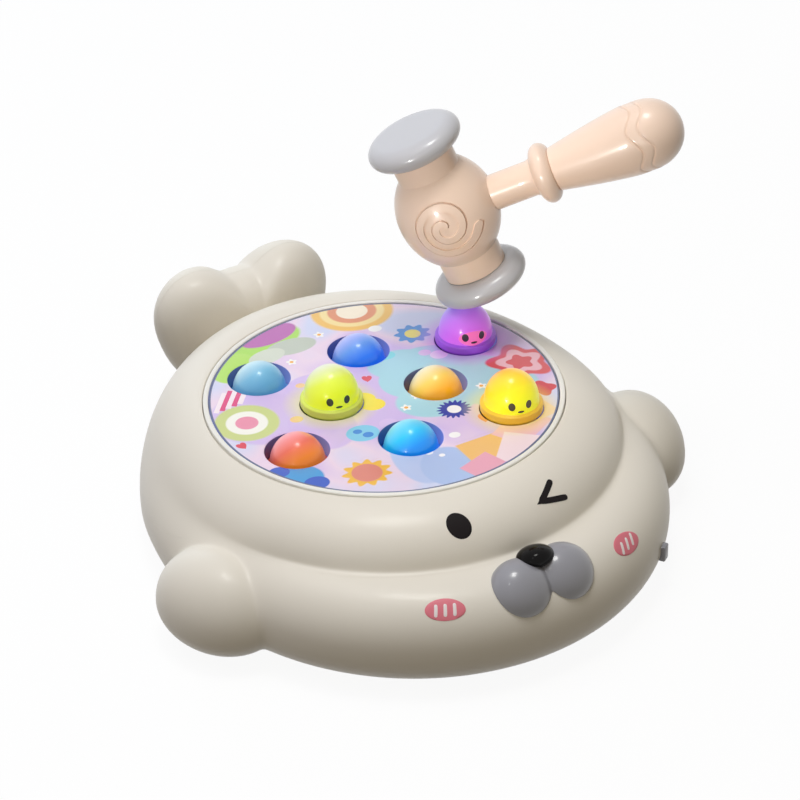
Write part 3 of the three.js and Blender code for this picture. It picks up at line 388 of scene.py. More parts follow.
def rod(radius, z0, z1, x=0.0, y=0.0, sides=48):
    """A cylinder primitive standing at x, y."""
    bpy.ops.mesh.primitive_cylinder_add(vertices=sides, radius=radius, depth=z1 - z0, location=(x, y, (z0 + z1) / 2))
    bpy.ops.object.transform_apply(location=True, rotation=True, scale=True)
    return bpy.context.object


switch_turn, knob_out = radians(32.5), 0.0024
knob_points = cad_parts["switch_knob"].data.vertices
switch_skin = max(hypot(point.co.x, point.co.y) for point in knob_points) - knob_out
door_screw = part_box("battery_door_screw")
ear_y = (door_screw[0].y + door_screw[1].y) / 2
cut_foot = -0.002
bay_front, bay_back, bay_half, bay_top = 0.0228, 0.0672, 0.029, 0.0174
ear_half, ear_top = 0.006, 0.0044
slot_y, slot_step, slot_half, slot_out, slot_top = -0.052, 0.005, 0.0011, 0.0099, 0.004
well_out, screw_radius, screw_top = 0.084, 0.0037, 0.0057
tools = [
    block(-bay_half, bay_half, bay_front, bay_back, cut_foot, bay_top),
    rod(ear_half, cut_foot, ear_top, 0, ear_y),
    block(-ear_half, ear_half, ear_y, bay_front - cut_foot, cut_foot, ear_top),
    block(-0.0029, 0.0069, -0.14, -0.105, 0.0146, 0.0238, switch_turn),
]
for i in range(5):
    y = slot_y + (i - 2) * slot_step
    tools.append(block(-slot_out, slot_out, y - slot_half, y + slot_half, cut_foot, slot_top))
    for x in (-slot_out, slot_out):
        tools.append(rod(slot_half, cut_foot, slot_top, x, y, 20))
for turn in (0, radians(120), radians(-120)):
    tools.append(rod(screw_radius, cut_foot, screw_top, well_out * sin(turn), -well_out * cos(turn)))
for tool in tools:
    joined(lower_shell, tool, "DIFFERENCE")
smooth(lower_shell)
dress(lower_shell, cream, "seal", "lower_shell")

# Tail
# A puffed fluke with two lobes, hollow in the real toy and moulded in two halves that meet edge to edge behind the
# body. The valley between the lobes fades downwards.
tail_behind, tail_mid, tail_half, tail_puff = 0.144, 0.0421, 0.02, 0.65
lobe_out, lobe_rise, lobe_radius = 0.0266, 0.0123, 0.0221
foot_wide, foot_high, foot_drop, tail_blend = 0.0447, 0.0325, 0.006, 7.9
piece_gap, half_gap = 0.0003, 0.00005


def fluke_reach(angle):
    """Outline distance from the fluke's middle, at an angle above level."""
    x, z = abs(np.cos(angle)), np.sin(angle)
    b = x * lobe_out + z * lobe_rise
    under = b * b - (lobe_out ** 2 + lobe_rise ** 2 - lobe_radius ** 2)
    lobe = np.where(under > 0, np.maximum(0, b + np.sqrt(np.maximum(under, 0))), 0)
    p = (x / foot_wide) ** 2 + (z / foot_high) ** 2
    q = z * foot_drop / foot_high ** 2
    foot = (-q + np.sqrt(q * q - p * ((foot_drop / foot_high) ** 2 - 1))) / p
    return (lobe ** tail_blend + foot ** tail_blend) ** (1 / tail_blend)


angles = np.linspace(0, 2 * pi, 181)
rows = []
for bend in np.linspace(-pi / 2, pi / 2, 49):
    out = fluke_reach(angles) * max(cos(bend), 0) ** tail_puff
    rows.append(np.stack([out * np.cos(angles), out * 0 + tail_behind + tail_half * sin(bend),
                          tail_mid + out * np.sin(angles)], -1))
fluke = skin_piece("fluke", rows)
eased = fluke.modifiers.new("eased", "SMOOTH")
eased.factor, eased.iterations = 0.5, 18
bpy.ops.object.modifier_apply(modifier="eased")
grown = [ring_row(0, -piece_gap)]
for share in np.linspace(0, 1, 90):
    grown.append(skin(turns, foot_climb * (1 - share) + radians(52) * share, -piece_gap))
grown.append(ring_row(0, body_top + piece_gap))
grown_body = skin_piece("grown_body", grown)


def copy_of(piece, name):
    """A copy of a piece with a mesh of its own."""
    made = piece.copy()
    made.data = piece.data.copy()
    made.name = made.data.name = name
    scene.collection.objects.link(made)
    return made


def halved(piece, name, y):
    """The front and back half of a piece, with a hair's gap where it is cut at y."""
    far = 0.3
    front = joined(copy_of(piece, name + "_front"), block(-far, far, y - far, y - half_gap, -far, far), "INTERSECT")
    back = joined(piece, block(-far, far, y + half_gap, y + far, -far, far), "INTERSECT")
    back.name = back.data.name = name + "_back"
    return front, back


joined(fluke, copy_of(grown_body, "tail_cutter"), "DIFFERENCE")
for half, node in zip(halved(fluke, "tail", tail_behind), ("tail_front_shell", "tail_back_shell")):
    smooth(half)
    dress(half, cream, "seal", node)

# Muzzle and nose
# Two glossy grey lobes in one moulding, pressed against the chin, with an oval nose of black gloss in the notch
# above them.


def ball(x, y, z, halves, tilt):
    """A sphere primitive drawn to three half sizes, tilted back and set down."""
    bpy.ops.mesh.primitive_uv_sphere_add(segments=72, ring_count=40, radius=1)
    made = bpy.context.object
    place = Matrix.Translation((x, y, z)) @ Matrix.Rotation(-radians(tilt), 4, "X")
    made.data.transform(place @ Matrix.Diagonal((*halves, 1)))
    return made


muzzle_y, muzzle_z, muzzle_out, muzzle_tilt = -0.1344, 0.0416, 0.0113, 48
muzzle_halves = (0.0151, 0.011, 0.0144)
muzzle = joined(ball(-muzzle_out, muzzle_y, muzzle_z, muzzle_halves, muzzle_tilt),
                ball(muzzle_out, muzzle_y, muzzle_z, muzzle_halves, muzzle_tilt), "UNION")
muzzle.name = muzzle.data.name = "muzzle_lobes"
melted = muzzle.modifiers.new("even", "REMESH")
melted.mode, melted.voxel_size = "VOXEL", 0.00035
eased = muzzle.modifiers.new("eased", "SMOOTH")
eased.factor, eased.iterations = 0.5, 30
bpy.context.view_layer.objects.active = muzzle
for change in ("even", "eased"):
    bpy.ops.object.modifier_apply(modifier=change)
nose = ball(0, -0.1288, 0.052, (0.0089, 0.0085, 0.0052), 21)
nose.name = nose.data.name = "nose_tip"
joined(nose, copy_of(muzzle, "nose_seat"), "DIFFERENCE")
joined(nose, copy_of(grown_body, "nose_cutter"), "DIFFERENCE")
joined(muzzle, copy_of(grown_body, "muzzle_cutter"), "DIFFERENCE")
grey_gloss = plastic("grey_gloss", tint(147, 147, 154), 0.3, coat=0.6, grain=0.01)[0]
black_gloss = plastic("black_gloss", tint(8, 6, 6), 0.12, grain=0.01, Specular_IOR_Level=0.12)[0]
for piece, node, finish in ((muzzle, "muzzle", grey_gloss), (nose, "nose", black_gloss)):
    smooth(piece)
    dress(piece, finish, "seal", node)
bpy.data.objects.remove(grown_body)

# Face prints
# An open eye, a wink and two striped cheeks, printed on the shell as raised films of ink, a sixth of a millimetre
# thick.


def print_on(name, turn, climb, outline, lean=0.0, lift=0.00016):
    """A film on the skin, inside an outline given as across and up for each way round."""
    step = 0.01
    here = skin(turn, climb)
    across_step = np.linalg.norm(skin(turn + step, climb) - here) / step
    up_step = np.linalg.norm(skin(turn, climb + step) - here) / step
    u, v = np.array([outline(way) for way in np.linspace(0, 2 * pi, 73)]).T
    u, v = u * cos(lean) - v * sin(lean), u * sin(lean) + v * cos(lean)
    film = [(0, 1), (0.3, 1), (0.6, 1), (0.85, 1), (1, 0.86), (1.02, 0.4), (1.02, -0.35), (0.6, -0.35), (0, -0.35)]
    return skin_piece(name, [
        skin(turn + u * share / across_step, climb + v * share / up_step, -lift * high) for share, high in film])


def oval(width, height):
    """An ellipse between its full width and height."""
    return lambda way: (width / 2 * cos(way), height / 2 * sin(way))


def stroke(length, width):
    """A bar with round ends, along the across direction."""
    def edge(way):
        x, z = cos(way), sin(way)
        half = length / 2 - width / 2
        if abs(z) * half < abs(x) * width / 2:
            reach = half * abs(x) + sqrt(max((width / 2) ** 2 - (half * z) ** 2, 0))
        else:
            reach = width / 2 / abs(z)
        return reach * x, reach * z
    return edge


ink_black = plastic("ink_black", tint(20, 14, 15), 0.5, grain=0.05, Specular_IOR_Level=0.12)[0]
ink_pink = plastic("ink_pink", tint(224, 120, 134), 0.45, grain=0.05)[0]
ink_white = plastic("ink_white", tint(244, 236, 234), 0.45, grain=0.05)[0]
eye = print_on("eye_print", radians(-13.2), radians(26.6), oval(0.0107, 0.0131), radians(18))


def at_skin(x, y, z):
    """The turn and climb of a point on the skin."""
    return atan2(x, -y), atan2(z - core_height, hypot(x, y) - core_radius)


def mitre(high, low, width, closing=0.001):
    """The pointed corner where two bars meet, between one bar's way and the other's."""
    sides = ((high + pi / 2, width / 2), (low - pi / 2, width / 2), ((high + low) / 2, closing))

    def edge(way):
        reach = min(far / max(cos(way - side), 0.01) for side, far in sides)
        return reach * cos(way), reach * sin(way)
    return edge


wink_corner, wink_width, wink_out, wink_up = (0.019, -0.1066, 0.0622), 0.0029, 0.112, 0.053
wink_tips = (0.0271, -0.0992, 0.0652), (0.031, -0.1063, 0.0591)
pieces, ways = [], []
corner_turn, corner_climb = at_skin(*wink_corner)
for tip in wink_tips:
    to_turn, to_climb = at_skin(*tip)
    run, rise = (to_turn - corner_turn) * wink_out, (to_climb - corner_climb) * wink_up
    ways.append(atan2(rise, run))
    pieces.append(print_on("wink_bar", (corner_turn + to_turn) / 2, (corner_climb + to_climb) / 2,
                           stroke(hypot(run, rise) + wink_width, wink_width), ways[-1]))
pieces.append(print_on("wink_point", corner_turn, corner_climb, mitre(*ways, wink_width)))
wink = joined(joined(pieces[0], pieces[1], "UNION"), pieces[2], "UNION")
wink.name = wink.data.name = "wink_print"
prints = [(eye, ink_black, "black_gloss"), (wink, ink_black, "black_gloss")]
cheek_turn, bar_turn, bar_lift = radians(20.5), 0.0042 / 0.1385, 0.00024
for side, word, cheek_climb, lean in ((-1, "left", radians(1.7), 0), (1, "right", radians(0.5), radians(-10))):
    cheek = print_on("cheek_print_" + word, side * cheek_turn, cheek_climb, oval(0.0179, 0.0101), lean)
    prints.append((cheek, ink_pink, "ivory_shell"))
    for i in (-1, 0, 1):
        bar = print_on(f"cheek_bar_{word}_{i + 2}", side * cheek_turn + i * bar_turn, cheek_climb,
                       stroke(0.006, 0.0015), radians(82) + 2 * lean, bar_lift)
        prints.append((bar, ink_white, "white_bezel"))
for piece, ink, slot in prints:
    smooth(piece, 60)
    dress(piece, ink, "seal")

# Play deck
# A round plate with eight collared holes, in frosted blue-grey plastic with a bright print on its upper face. On top
# of the print lie painted glows round the three raised moles and a painted shade line at its rim, and the hole walls
# that face the picture's left glow with painted light.
deck_twist = radians(13.7)
deck_radius, deck_top, plate_thick, plate_round = 0.084, 0.0704, 0.003, 0.0005
hole_radius, mouth_flare = 0.0153, 0.0006
collar_radius, collar_foot, collar_top = 0.0167, 0.0584, 0.0701
holes = [(-0.053, 0.0331), (0, 0.0411), (0.053, 0.0331), (-0.0262, 0), (0.0262, 0),
         (0.053, -0.0331), (-0.053, -0.0331), (0, -0.0411)]


def turned(name, outline, steps=96, place=(0, 0, 0)):
    """A closed round body: its outline, as radius and height, spun once round an upright axis."""
    bpy.ops.mesh.primitive_circle_add(vertices=len(outline), radius=0.01)
    piece = bpy.context.object
    piece.name = piece.data.name = name
    for vertex, (radius, height) in zip(piece.data.vertices, outline):
        vertex.co = (radius, 0, height)
    bpy.ops.object.mode_set(mode="EDIT")
    bpy.ops.mesh.select_all(action="SELECT")
    bpy.ops.mesh.spin(steps=steps, angle=2 * pi, center=(0, 0, 0), axis=(0, 0, 1))
    bpy.ops.mesh.select_all(action="SELECT")
    bpy.ops.mesh.remove_doubles(threshold=2e-6)
    bpy.ops.mesh.delete_loose(use_verts=True, use_edges=True, use_faces=False)
    bpy.ops.mesh.select_all(action="SELECT")
    bpy.ops.mesh.normals_make_consistent(inside=False)
    bpy.ops.object.mode_set(mode="OBJECT")
    piece.data.transform(Matrix.Translation(place))
    return piece


def arc(middle_r, middle_z, radius, start, end, steps):
    """Outline points on part of a circle, from one angle above level to another."""
    angles = np.linspace(radians(start), radians(end), steps + 1)
    return [(max(middle_r + radius * cos(a), 0), middle_z + radius * sin(a)) for a in angles]


def deck_place(x, y):
    """A place given in the deck's own turned frame."""
    return x * cos(deck_twist) + y * sin(deck_twist), y * cos(deck_twist) - x * sin(deck_twist)


plate_outline = [(0, deck_top - plate_thick), (deck_radius, deck_top - plate_thick)]
plate_outline += arc(deck_radius - plate_round, deck_top - plate_round, plate_round, 0, 90, 4) + [(0, deck_top)]
plate = turned("play_deck_plate", plate_outline, 192)
collar = [(0, collar_foot), (collar_radius, collar_foot), (collar_radius, collar_top), (0, collar_top)]
mouth = [(0, 0.05), (hole_radius, 0.05)] + [
    (hole_radius + mouth_flare - mouth_flare * cos(a), deck_top - mouth_flare + mouth_flare * sin(a))
    for a in np.linspace(0, pi / 2, 6)] + [(hole_radius + mouth_flare, 0.075), (0, 0.075)]
for x, y in holes:
    joined(plate, turned("collar", collar, 64, (*deck_place(x, y), 0)), "UNION")
for x, y in holes:
    joined(plate, turned("mouth", mouth, 72, (*deck_place(x, y), 0)), "DIFFERENCE")
smooth(plate)


def vectors(tree, operation, *values):
    """The result of one vector maths node, a number for a length or a dot product."""
    made = put(tree, "VectorMath", enumerate(values), operation=operation)
    return made.outputs["Value" if operation in ("LENGTH", "DOT_PRODUCT") else "Vector"]


def flat(tree, vector):
    """The same place with its height left out."""
    return vectors(tree, "MULTIPLY", vector, (1, 1, 0))


def spread(tree, value, low, high, start=0, end=1):
    """A value carried from one range to another and held inside it."""
    ranges = {"Value": value, "From Min": low, "From Max": high, "To Min": start, "To Max": end}
    return put(tree, "MapRange", ranges).outputs[0]


def deck_turned(tree, vector, angle=deck_twist):
    """A place turned about the upright axis, by the deck's turn unless told otherwise."""
    return put(tree, "VectorRotate", {"Vector": vector, "Angle": angle}, rotation_type="Z_AXIS").outputs[0]


def motif(name, measure, limit=1.0, soft=0.04, more=()):
    """The node group of one motif, 1 where its measure is under a limit. What it takes is in millimetres."""
    tree, takes, gives = new_group(name, ["Vector", "X", "Y", "Wide", "High", "Turn", *more], ["Mask"])
    middle = put(tree, "CombineXYZ", {0: takes["X"], 1: takes["Y"]}).outputs[0]
    away = vectors(tree, "SUBTRACT", takes["Vector"], middle)
    away = deck_turned(tree, away, maths(tree, "MULTIPLY", takes["Turn"], -pi / 180))
    halves = put(tree, "CombineXYZ", {0: takes["Wide"], 1: takes["High"], 2: 1.0}).outputs[0]
    distance = measure(tree, vectors(tree, "DIVIDE", away, halves), takes)
    tree.links.new(spread(tree, distance, limit - soft, limit + soft, 1, 0), gives.inputs["Mask"])
    return tree


def round_measure(tree, place, takes):
    """The distance from the motif's middle."""
    return vectors(tree, "LENGTH", flat(tree, place))


def square_measure(tree, place, takes):
    """The larger of the distances across and along."""
    sides = put(tree, "SeparateXYZ", {0: vectors(tree, "ABSOLUTE", place)}).outputs
    return maths(tree, "MAXIMUM", sides[0], sides[1])


def petal_measure(tree, place, takes):
    """The distance from the middle, with a dip between each two petals."""
    sides = put(tree, "SeparateXYZ", {0: flat(tree, place)}).outputs
    wave = maths(tree, "MULTIPLY", maths(tree, "ARCTAN2", sides[1], sides[0]), takes["Petals"])
    dip = maths(tree, "MULTIPLY_ADD", maths(tree, "COSINE", wave), -0.5, 0.5)
    return maths(tree, "ADD", round_measure(tree, place, takes), maths(tree, "MULTIPLY", dip, takes["Depth"]))


def heart_measure(tree, place, takes):
    """The distance from the middle, in a plane bent down to both sides by the root of the way across."""
    sides = put(tree, "SeparateXYZ", {0: place}).outputs
    sideways = maths(tree, "ABSOLUTE", sides[0])
    risen = maths(tree, "MULTIPLY_ADD", maths(tree, "SQRT", sideways), -0.72, sides[1])
    return vectors(tree, "LENGTH", put(tree, "CombineXYZ", {0: sideways, 1: risen}).outputs[0])


disc = motif("print_oval", round_measure)
tile = motif("print_tile", square_measure, soft=0.03)
bloom = motif("print_bloom", petal_measure, more=("Petals", "Depth"))
heart = motif("print_heart", heart_measure, 0.95, 0.06)

# The deck's finish holds its print and painted light: glows round the raised moles, a shade line at the rim and lit
# hole walls.
printed, tree, skin_of, shader = plastic(
    "printed_deck", tint(224, 211, 238), 0.24, coat=0.25, mottle=0.02, grain=0.02)
on_deck = deck_turned(tree, put(tree, "TexCoord").outputs["Object"])
sheet = put(tree, "VectorMath", {0: on_deck, "Scale": 1000}, operation="SCALE").outputs[0]
drift = put(tree, "TexNoise", {"Vector": sheet, "Scale": 0.022, "Detail": 1}).outputs["Fac"]
ramp = put(tree, "ValToRGB", {0: drift})
first, last = ramp.color_ramp.elements
first.position, first.color = 0.38, tint(214, 190, 238)
last.position, last.color = 0.62, tint(214, 220, 246)
ramp.color_ramp.elements.new(0.5).color = tint(240, 218, 236)
layers = [ramp.outputs[0]]


def blended(tree, amount, below, above):
    """One colour laid over another by an amount."""
    return put(tree, "Mix", {0: amount, 6: below, 7: above}, data_type="RGBA").outputs[2]


def paint(mask, colour, strength=1.0):
    """Lays one colour over those below it: a colour of the print, or a painted glow or shade."""
    amount = maths(tree, "MULTIPLY", mask, strength) if strength < 1 else mask
    layers.append(blended(tree, amount, layers[-1], tint(*colour)))


def shape(group, x, y, wide, high, turn=0.0, **more):
    """The mask of one motif, placed on the print."""
    sockets = dict(Vector=sheet, X=x, Y=y, Wide=wide, High=high, Turn=turn, **more)
    return put(tree, "Group", sockets, node_tree=group).outputs["Mask"]


for x, y, wide, high in ((-52, 0, 34, 26), (-36, -18, 16, 20), (-30, 16, 14, 12)):
    paint(shape(disc, x, y, wide, high), (214, 190, 240), 0.85)
for x, y, wide, high, colour in (
        (16, 22, 17, 13, (170, 218, 232)), (30, 20, 18, 14, (170, 218, 232)), (12, 6, 12, 14, (170, 218, 232)),
        (22, -14, 20, 15, (172, 220, 232)), (40, 2, 26, 18, (176, 216, 228)), (52, -12, 22, 16, (176, 216, 228)),
        (10, 32, 6, 4, (134, 222, 232)), (-2, -58, 12, 22, (190, 206, 242)), (10, -70, 14, 16, (178, 200, 240))):
    paint(shape(disc, x, y, wide, high), colour)
for x, y, wide, high, turn, colour in (
        (-46, 62, 26, 12, 24, (176, 226, 96)), (-62, 46, 14, 10, 50, (186, 230, 108)),
        (-38, 70, 16, 8, 20, (190, 104, 180)), (-30, 56, 13, 7, 8, (196, 204, 190)),
        (-44, 51, 10, 6, 20, (216, 222, 206))):
    paint(shape(disc, x, y, wide, high, turn), colour)
for x, y, wide, turn, colour in (
        (34, -62, 15, 12, (248, 196, 118)), (52, -50, 13, 40, (244, 190, 205)), (44, -66, 12, 60, (250, 226, 232)),
        (62, -40, 10, 20, (250, 214, 190)), (24, -74, 9, 30, (240, 170, 190))):
    paint(shape(tile, x, y, wide, wide * 0.7, turn), colour)
for wide, colour in ((21, (244, 196, 104)), (16.5, (250, 226, 160)), (12.5, (226, 148, 110)), (8, (250, 238, 214))):
    paint(shape(disc, 8, 78, wide, wide * 0.9), colour)
for wide, colour in ((17, (222, 84, 90)), (12, (246, 190, 200)), (7, (222, 84, 90))):
    paint(shape(bloom, 71, 4, wide, wide, 20, Petals=5, Depth=0.3), colour)
paint(shape(bloom, 73, -22, 7, 7, 0, Petals=4, Depth=0.3), (214, 62, 72))
for wide, colour in ((15.5, (208, 218, 140)), (10, (252, 250, 240)), (5.5, (240, 150, 176))):
    paint(shape(disc, -69, -3, wide, wide), colour)
for i in range(-2, 3):
    paint(shape(tile, -70 + 3.2 * i, 20 + i, 1.3, 9, -28), (226, 70, 130) if i % 2 else (252, 236, 242))
for x, y, wide, petals, colour in (
        (27, -25, 8.6, 18, (46, 62, 168)), (30, 47, 9.5, 9, (72, 148, 222)), (-28, -62, 12, 11, (246, 192, 70))):
    paint(shape(bloom, x, y, wide, wide * 0.9, 10, Petals=petals, Depth=0.24), colour)
for x, y, wide, colour in (
        (27, -25, 3.4, (250, 250, 250)), (30, 47, 4, (246, 232, 120)), (-28, -62, 7.2, (228, 140, 124))):
    paint(shape(disc, x, y, wide, wide), colour)
for x, y, size, turn in ((38, -38, 3.4, -14), (47, -36, 2.8, 10), (-4, 14, 2.6, -10), (-76, -22, 2.6, 20)):
    paint(shape(heart, x, y, size, size, turn), (226, 74, 92))
for x, y, size, colour in (
        (-60, -56, 13, (72, 160, 222)), (-52, -62, 6, (58, 96, 200)), (-66, -48, 5, (58, 96, 200)),
        (-20, -30, 8, (132, 208, 240)), (-22, -28, 2.2, (62, 140, 220)), (-18, -32, 2.6, (62, 140, 220)),
        (-12, -2, 7, (252, 226, 60)), (-8, -8, 6, (252, 226, 60)), (36, 24, 4.5, (236, 222, 246)),
        (30, 28, 3.2, (224, 200, 240)), (-36, 20, 2.4, (246, 202, 160)), (-22, 26, 2.2, (176, 226, 120)),
        (-33, -10, 3, (246, 204, 140)), (14, 58, 3.4, (252, 252, 250)), (-6, -26, 4.6, (222, 196, 240)),
        (-46, -8, 3.2, (246, 204, 140)), (20, -46, 2.8, (252, 250, 250)), (4, -56, 2, (252, 252, 255)),
        (9, -60, 1.5, (252, 252, 255))):
    paint(shape(disc, x, y, size, size * 0.85), colour)
for x, y in ((6, -16), (14, -8), (-34, 42), (60, 46), (-14, 62), (46, -10)):
    paint(shape(bloom, x, y, 2.8, 2.8, 15, Petals=5, Depth=0.4), (252, 250, 246))
    paint(shape(disc, x, y, 1, 1), (244, 178, 84))
# Painted light: a soft wash of each raised mole's colour on the print round its hole, standing in for the glow that
# the lit mole throws on the deck.
for x, y, size, colour in (
        (53, 33.1, 26, (226, 110, 240)), (53, -33.1, 25, (250, 238, 90)), (-26.2, 0, 24, (240, 240, 90))):
    from_mole = vectors(tree, "LENGTH", flat(tree, vectors(tree, "SUBTRACT", sheet, (x, y, 0))))
    paint(spread(tree, from_mole, 15, size, 0.5, 0), colour)
# Painted shade: the plate's outermost 0.8 mm turns grey-blue, standing in for the shadowed gap between plate and
# bezel.
paint(spread(tree, vectors(tree, "LENGTH", flat(tree, sheet)), 83.0, 83.2), (104, 114, 146))
face_up = spread(tree, put(tree, "SeparateXYZ", {0: sheet}).outputs[2], 70.15, 70.2)
# Painted light: below the upper face, the hole walls that face the picture's left glow pale blue-violet, standing in
# for the light that falls on them.
facing = vectors(tree, "DOT_PRODUCT", put(tree, "NewGeometry").outputs["Normal"], tuple(-across))
painted_wall_light = maths(tree, "MULTIPLY", spread(tree, facing, 0.1, 1, 0, 0.34), maths(tree, "SUBTRACT", 1.0, face_up))
shader.inputs["Emission Color"].default_value = tint(150, 160, 226)
tree.links.new(painted_wall_light, shader.inputs["Emission Strength"])
tree.links.new(blended(tree, face_up, tint(96, 112, 172), layers[-1]), skin_of.inputs["Colour"])
dress(plate, printed, "seal", "deck_plate")

# Bezel
# A white ring that holds the deck's edge in the well, bevelled softly on both sides.
ring_inner, ring_outer, ring_round, ring_top = 0.0843, 0.0869, 0.0007, 0.0703
bezel_outline = [(ring_inner, collar_foot), (ring_outer, collar_foot)]
bezel_outline += arc(ring_outer - ring_round, ring_top, ring_round, 0, 90, 5)
bezel_outline += arc(ring_inner + ring_round, ring_top, ring_round, 90, 180, 5)
bezel = turned("deck_ring", bezel_outline, 256)
smooth(bezel)
ring_white = plastic("white_ring", tint(240, 238, 230), 0.3, coat=0.2, mottle=0.02)[0]
dress(bezel, ring_white, "seal", "deck_bezel")

# Moles
# Eight caps of tinted plastic, each with a ring round the foot and a long skirt in its guide. Three of them stand up
# and carry a small printed face. The caps' glow is painted light: every cap emits its own colours, the raised ones
# most, and each dome's colour runs from pale on its upper side to deep on its lower side.
dome_mid, dome_inner, mole_travel = 0.0068, 0.0105, 0.012
cap_outline = [(dome_inner, -0.0213), (0.0119, -0.0213), (0.0119, -0.0003), (0.0149, 0)]
cap_outline += arc(0.0145, 0.0006, 0.0006, -60, 0, 3) + arc(0.0144, 0.0032, 0.0007, 0, 80, 5)
cap_outline += arc(0.0138, 0.0046, 0.0006, -100, -180, 4)
cap_outline += [(0.0131 * cos(a), 0.0056 + 0.0145 * sin(a)) for a in np.linspace(0, pi / 2, 25)][1:]
cap_outline += [(dome_inner * cos(a), dome_mid + dome_inner * sin(a)) for a in np.linspace(pi / 2, 0, 9)]
cap_outline = [(max(r, 0), z) for r, z in cap_outline]
cap_pattern = turned("cap_pattern", cap_outline, 80)
# Each row gives the finish's name, then the dome's pale, middle and deep colours and the ring's colour; the run from
# pale to deep is painted light.
mole_colours = [
    ("mole_sky", (190, 218, 226), (118, 182, 216), (92, 164, 208), (92, 164, 208)),
    ("mole_blue", (168, 172, 226), (96, 150, 230), (24, 118, 250), (34, 110, 226)),
    ("mole_purple", (150, 134, 226), (192, 112, 236), (206, 96, 232), (156, 78, 222)),
    ("mole_lime", (204, 208, 186), (216, 232, 70), (224, 244, 20), (204, 216, 84)),
    ("mole_orange", (222, 214, 178), (240, 200, 90), (250, 172, 30), (214, 136, 50)),
    ("mole_yellow", (232, 176, 60), (244, 214, 20), (246, 246, 0), (238, 190, 44)),
    ("mole_coral", (232, 152, 160), (230, 108, 86), (246, 134, 34), (206, 74, 56)),
    ("mole_cyan", (120, 206, 220), (32, 190, 240), (16, 150, 250), (14, 120, 220)),
]
face_of = {3: ((246, 110, 190), (30, 10, 40)), 4: (None, (34, 44, 12)), 6: (None, (60, 48, 10))}
for number, ((x, y), (slot, pale, middle, deep, foot)) in enumerate(zip(holes, mole_colours), 1):
    up = number in face_of
    px, py = deck_place(x, y)
    base = deck_top if up else deck_top - mole_travel
    cap = copy_of(cap_pattern, f"mole_{number}")
    cap.data.transform(Matrix.Translation((px, py, base)))
    smooth(cap)
    finish, tree, skin_of, shader = plastic(slot + "_clear", tint(*middle), 0.3, coat=0.3, mottle=0.02, grain=0.02)
    here = vectors(tree, "SUBTRACT", put(tree, "TexCoord").outputs["Object"], (px, py, base + dome_mid))
    here = deck_turned(tree, here)
    # Painted light: the dome's colour runs from pale on its upper back to deep on its lower front.
    shade_way = Vector((0.15, -0.75, -0.8)) if up else Vector((0.3, -0.75, -0.65))
    shade = vectors(tree, "DOT_PRODUCT", here, tuple(shade_way.normalized() * 1000))
    ramp = put(tree, "ValToRGB", {0: spread(tree, shade, -12, 4.5 if up else 3)})
    ramp.color_ramp.elements[0].color = tint(*pale)
    ramp.color_ramp.elements[1].color = tint(*deep)
    ramp.color_ramp.elements.new(0.55).color = tint(*middle)
    domed = spread(tree, put(tree, "SeparateXYZ", {0: here}).outputs[2], -0.0027, -0.0023)
    colour = blended(tree, domed, tint(*foot), ramp.outputs[0])
    if up:
        small = put(tree, "VectorMath", {0: here, "Scale": 1000}, operation="SCALE").outputs[0]
        sides = put(tree, "SeparateXYZ", {0: small}).outputs
        screen = put(tree, "CombineXYZ", {0: sides[0], 1: sides[2]}).outputs[0]
        front = maths(tree, "LESS_THAN", sides[1], 0)
        blush, inked = face_of[number]
        marks = [(-4.2, 1.6, 1.6, 2.0, inked), (4.2, 1.6, 1.6, 2.0, inked), (0, -1.2, 1.7, 0.6, inked)]
        if blush:
            marks.insert(0, (0, 0.9, 7.2, 3.6, blush))
        for mark_x, mark_z, wide, high, mark in marks:
            sockets = dict(Vector=screen, X=mark_x, Y=mark_z, Wide=wide, High=high)
            mask = put(tree, "Group", sockets, node_tree=disc).outputs["Mask"]
            colour = blended(tree, maths(tree, "MULTIPLY", mask, front), colour, tint(*mark))
    tree.links.new(colour, skin_of.inputs["Colour"])
    tree.links.new(colour, shader.inputs["Emission Color"])
    # Painted light: each cap glows in its own colour, weakly at the ring and more on the dome, most on the raised
    # ones.
    painted_glow = spread(tree, domed, 0, 1, 0.1, 0.34 if up else 0.24)
    tree.links.new(painted_glow, shader.inputs["Emission Strength"])
    dress(cap, finish, f"mole_{number}", f"mole_cap_{number}")
bpy.data.objects.remove(cap_pattern)

# Hammer
# A toy mallet of peach plastic: a ball head in two halves with a raised spiral, a straight neck and a grey rubber cap
# at each end, and a handle with a collar and a swelling grip. It is drawn in its own frame and then set on the
# raised mole.
head_radius, head_high, head_wall, neck_radius, neck_end = 0.0252, 0.0293, 0.0022, 0.0155, 0.0337
cap_radius, cap_thick, cap_round, cap_bore, bore_deep = 0.0236, 0.012, 0.0075, 0.0129, 0.006
cap_mid = neck_end + piece_gap + cap_thick / 2
hammer_turn = Matrix()
for axis, degrees in (("Z", -33.5), ("Y", -23), ("X", -1.2)):
    hammer_turn = hammer_turn @ Matrix.Rotation(radians(degrees), 4, axis)
struck = Vector((*deck_place(*holes[2]), deck_top + dome_mid))
strike = Vector((-0.0164, -0.0077, -cap_mid - cap_thick / 2 - piece_gap - 0.0133))
hammer_place = Matrix.Translation(struck - hammer_turn @ strike) @ hammer_turn


def head_outline(inset, end):
    """Half the head's outline: a long round ball and a straight neck above and below it."""
    ball_r, ball_z, neck = head_radius - inset, head_high - inset, neck_radius - inset
    half = [(ball_r * cos(a), ball_z * sin(a)) for a in np.linspace(0, acos(neck / ball_r), 22)]
    half += [(neck, z) for z in np.linspace(half[-1][1], end, 6)[1:]]
    return [(0, -end)] + [(r, -z) for r, z in half[:0:-1]] + half + [(0, end)]


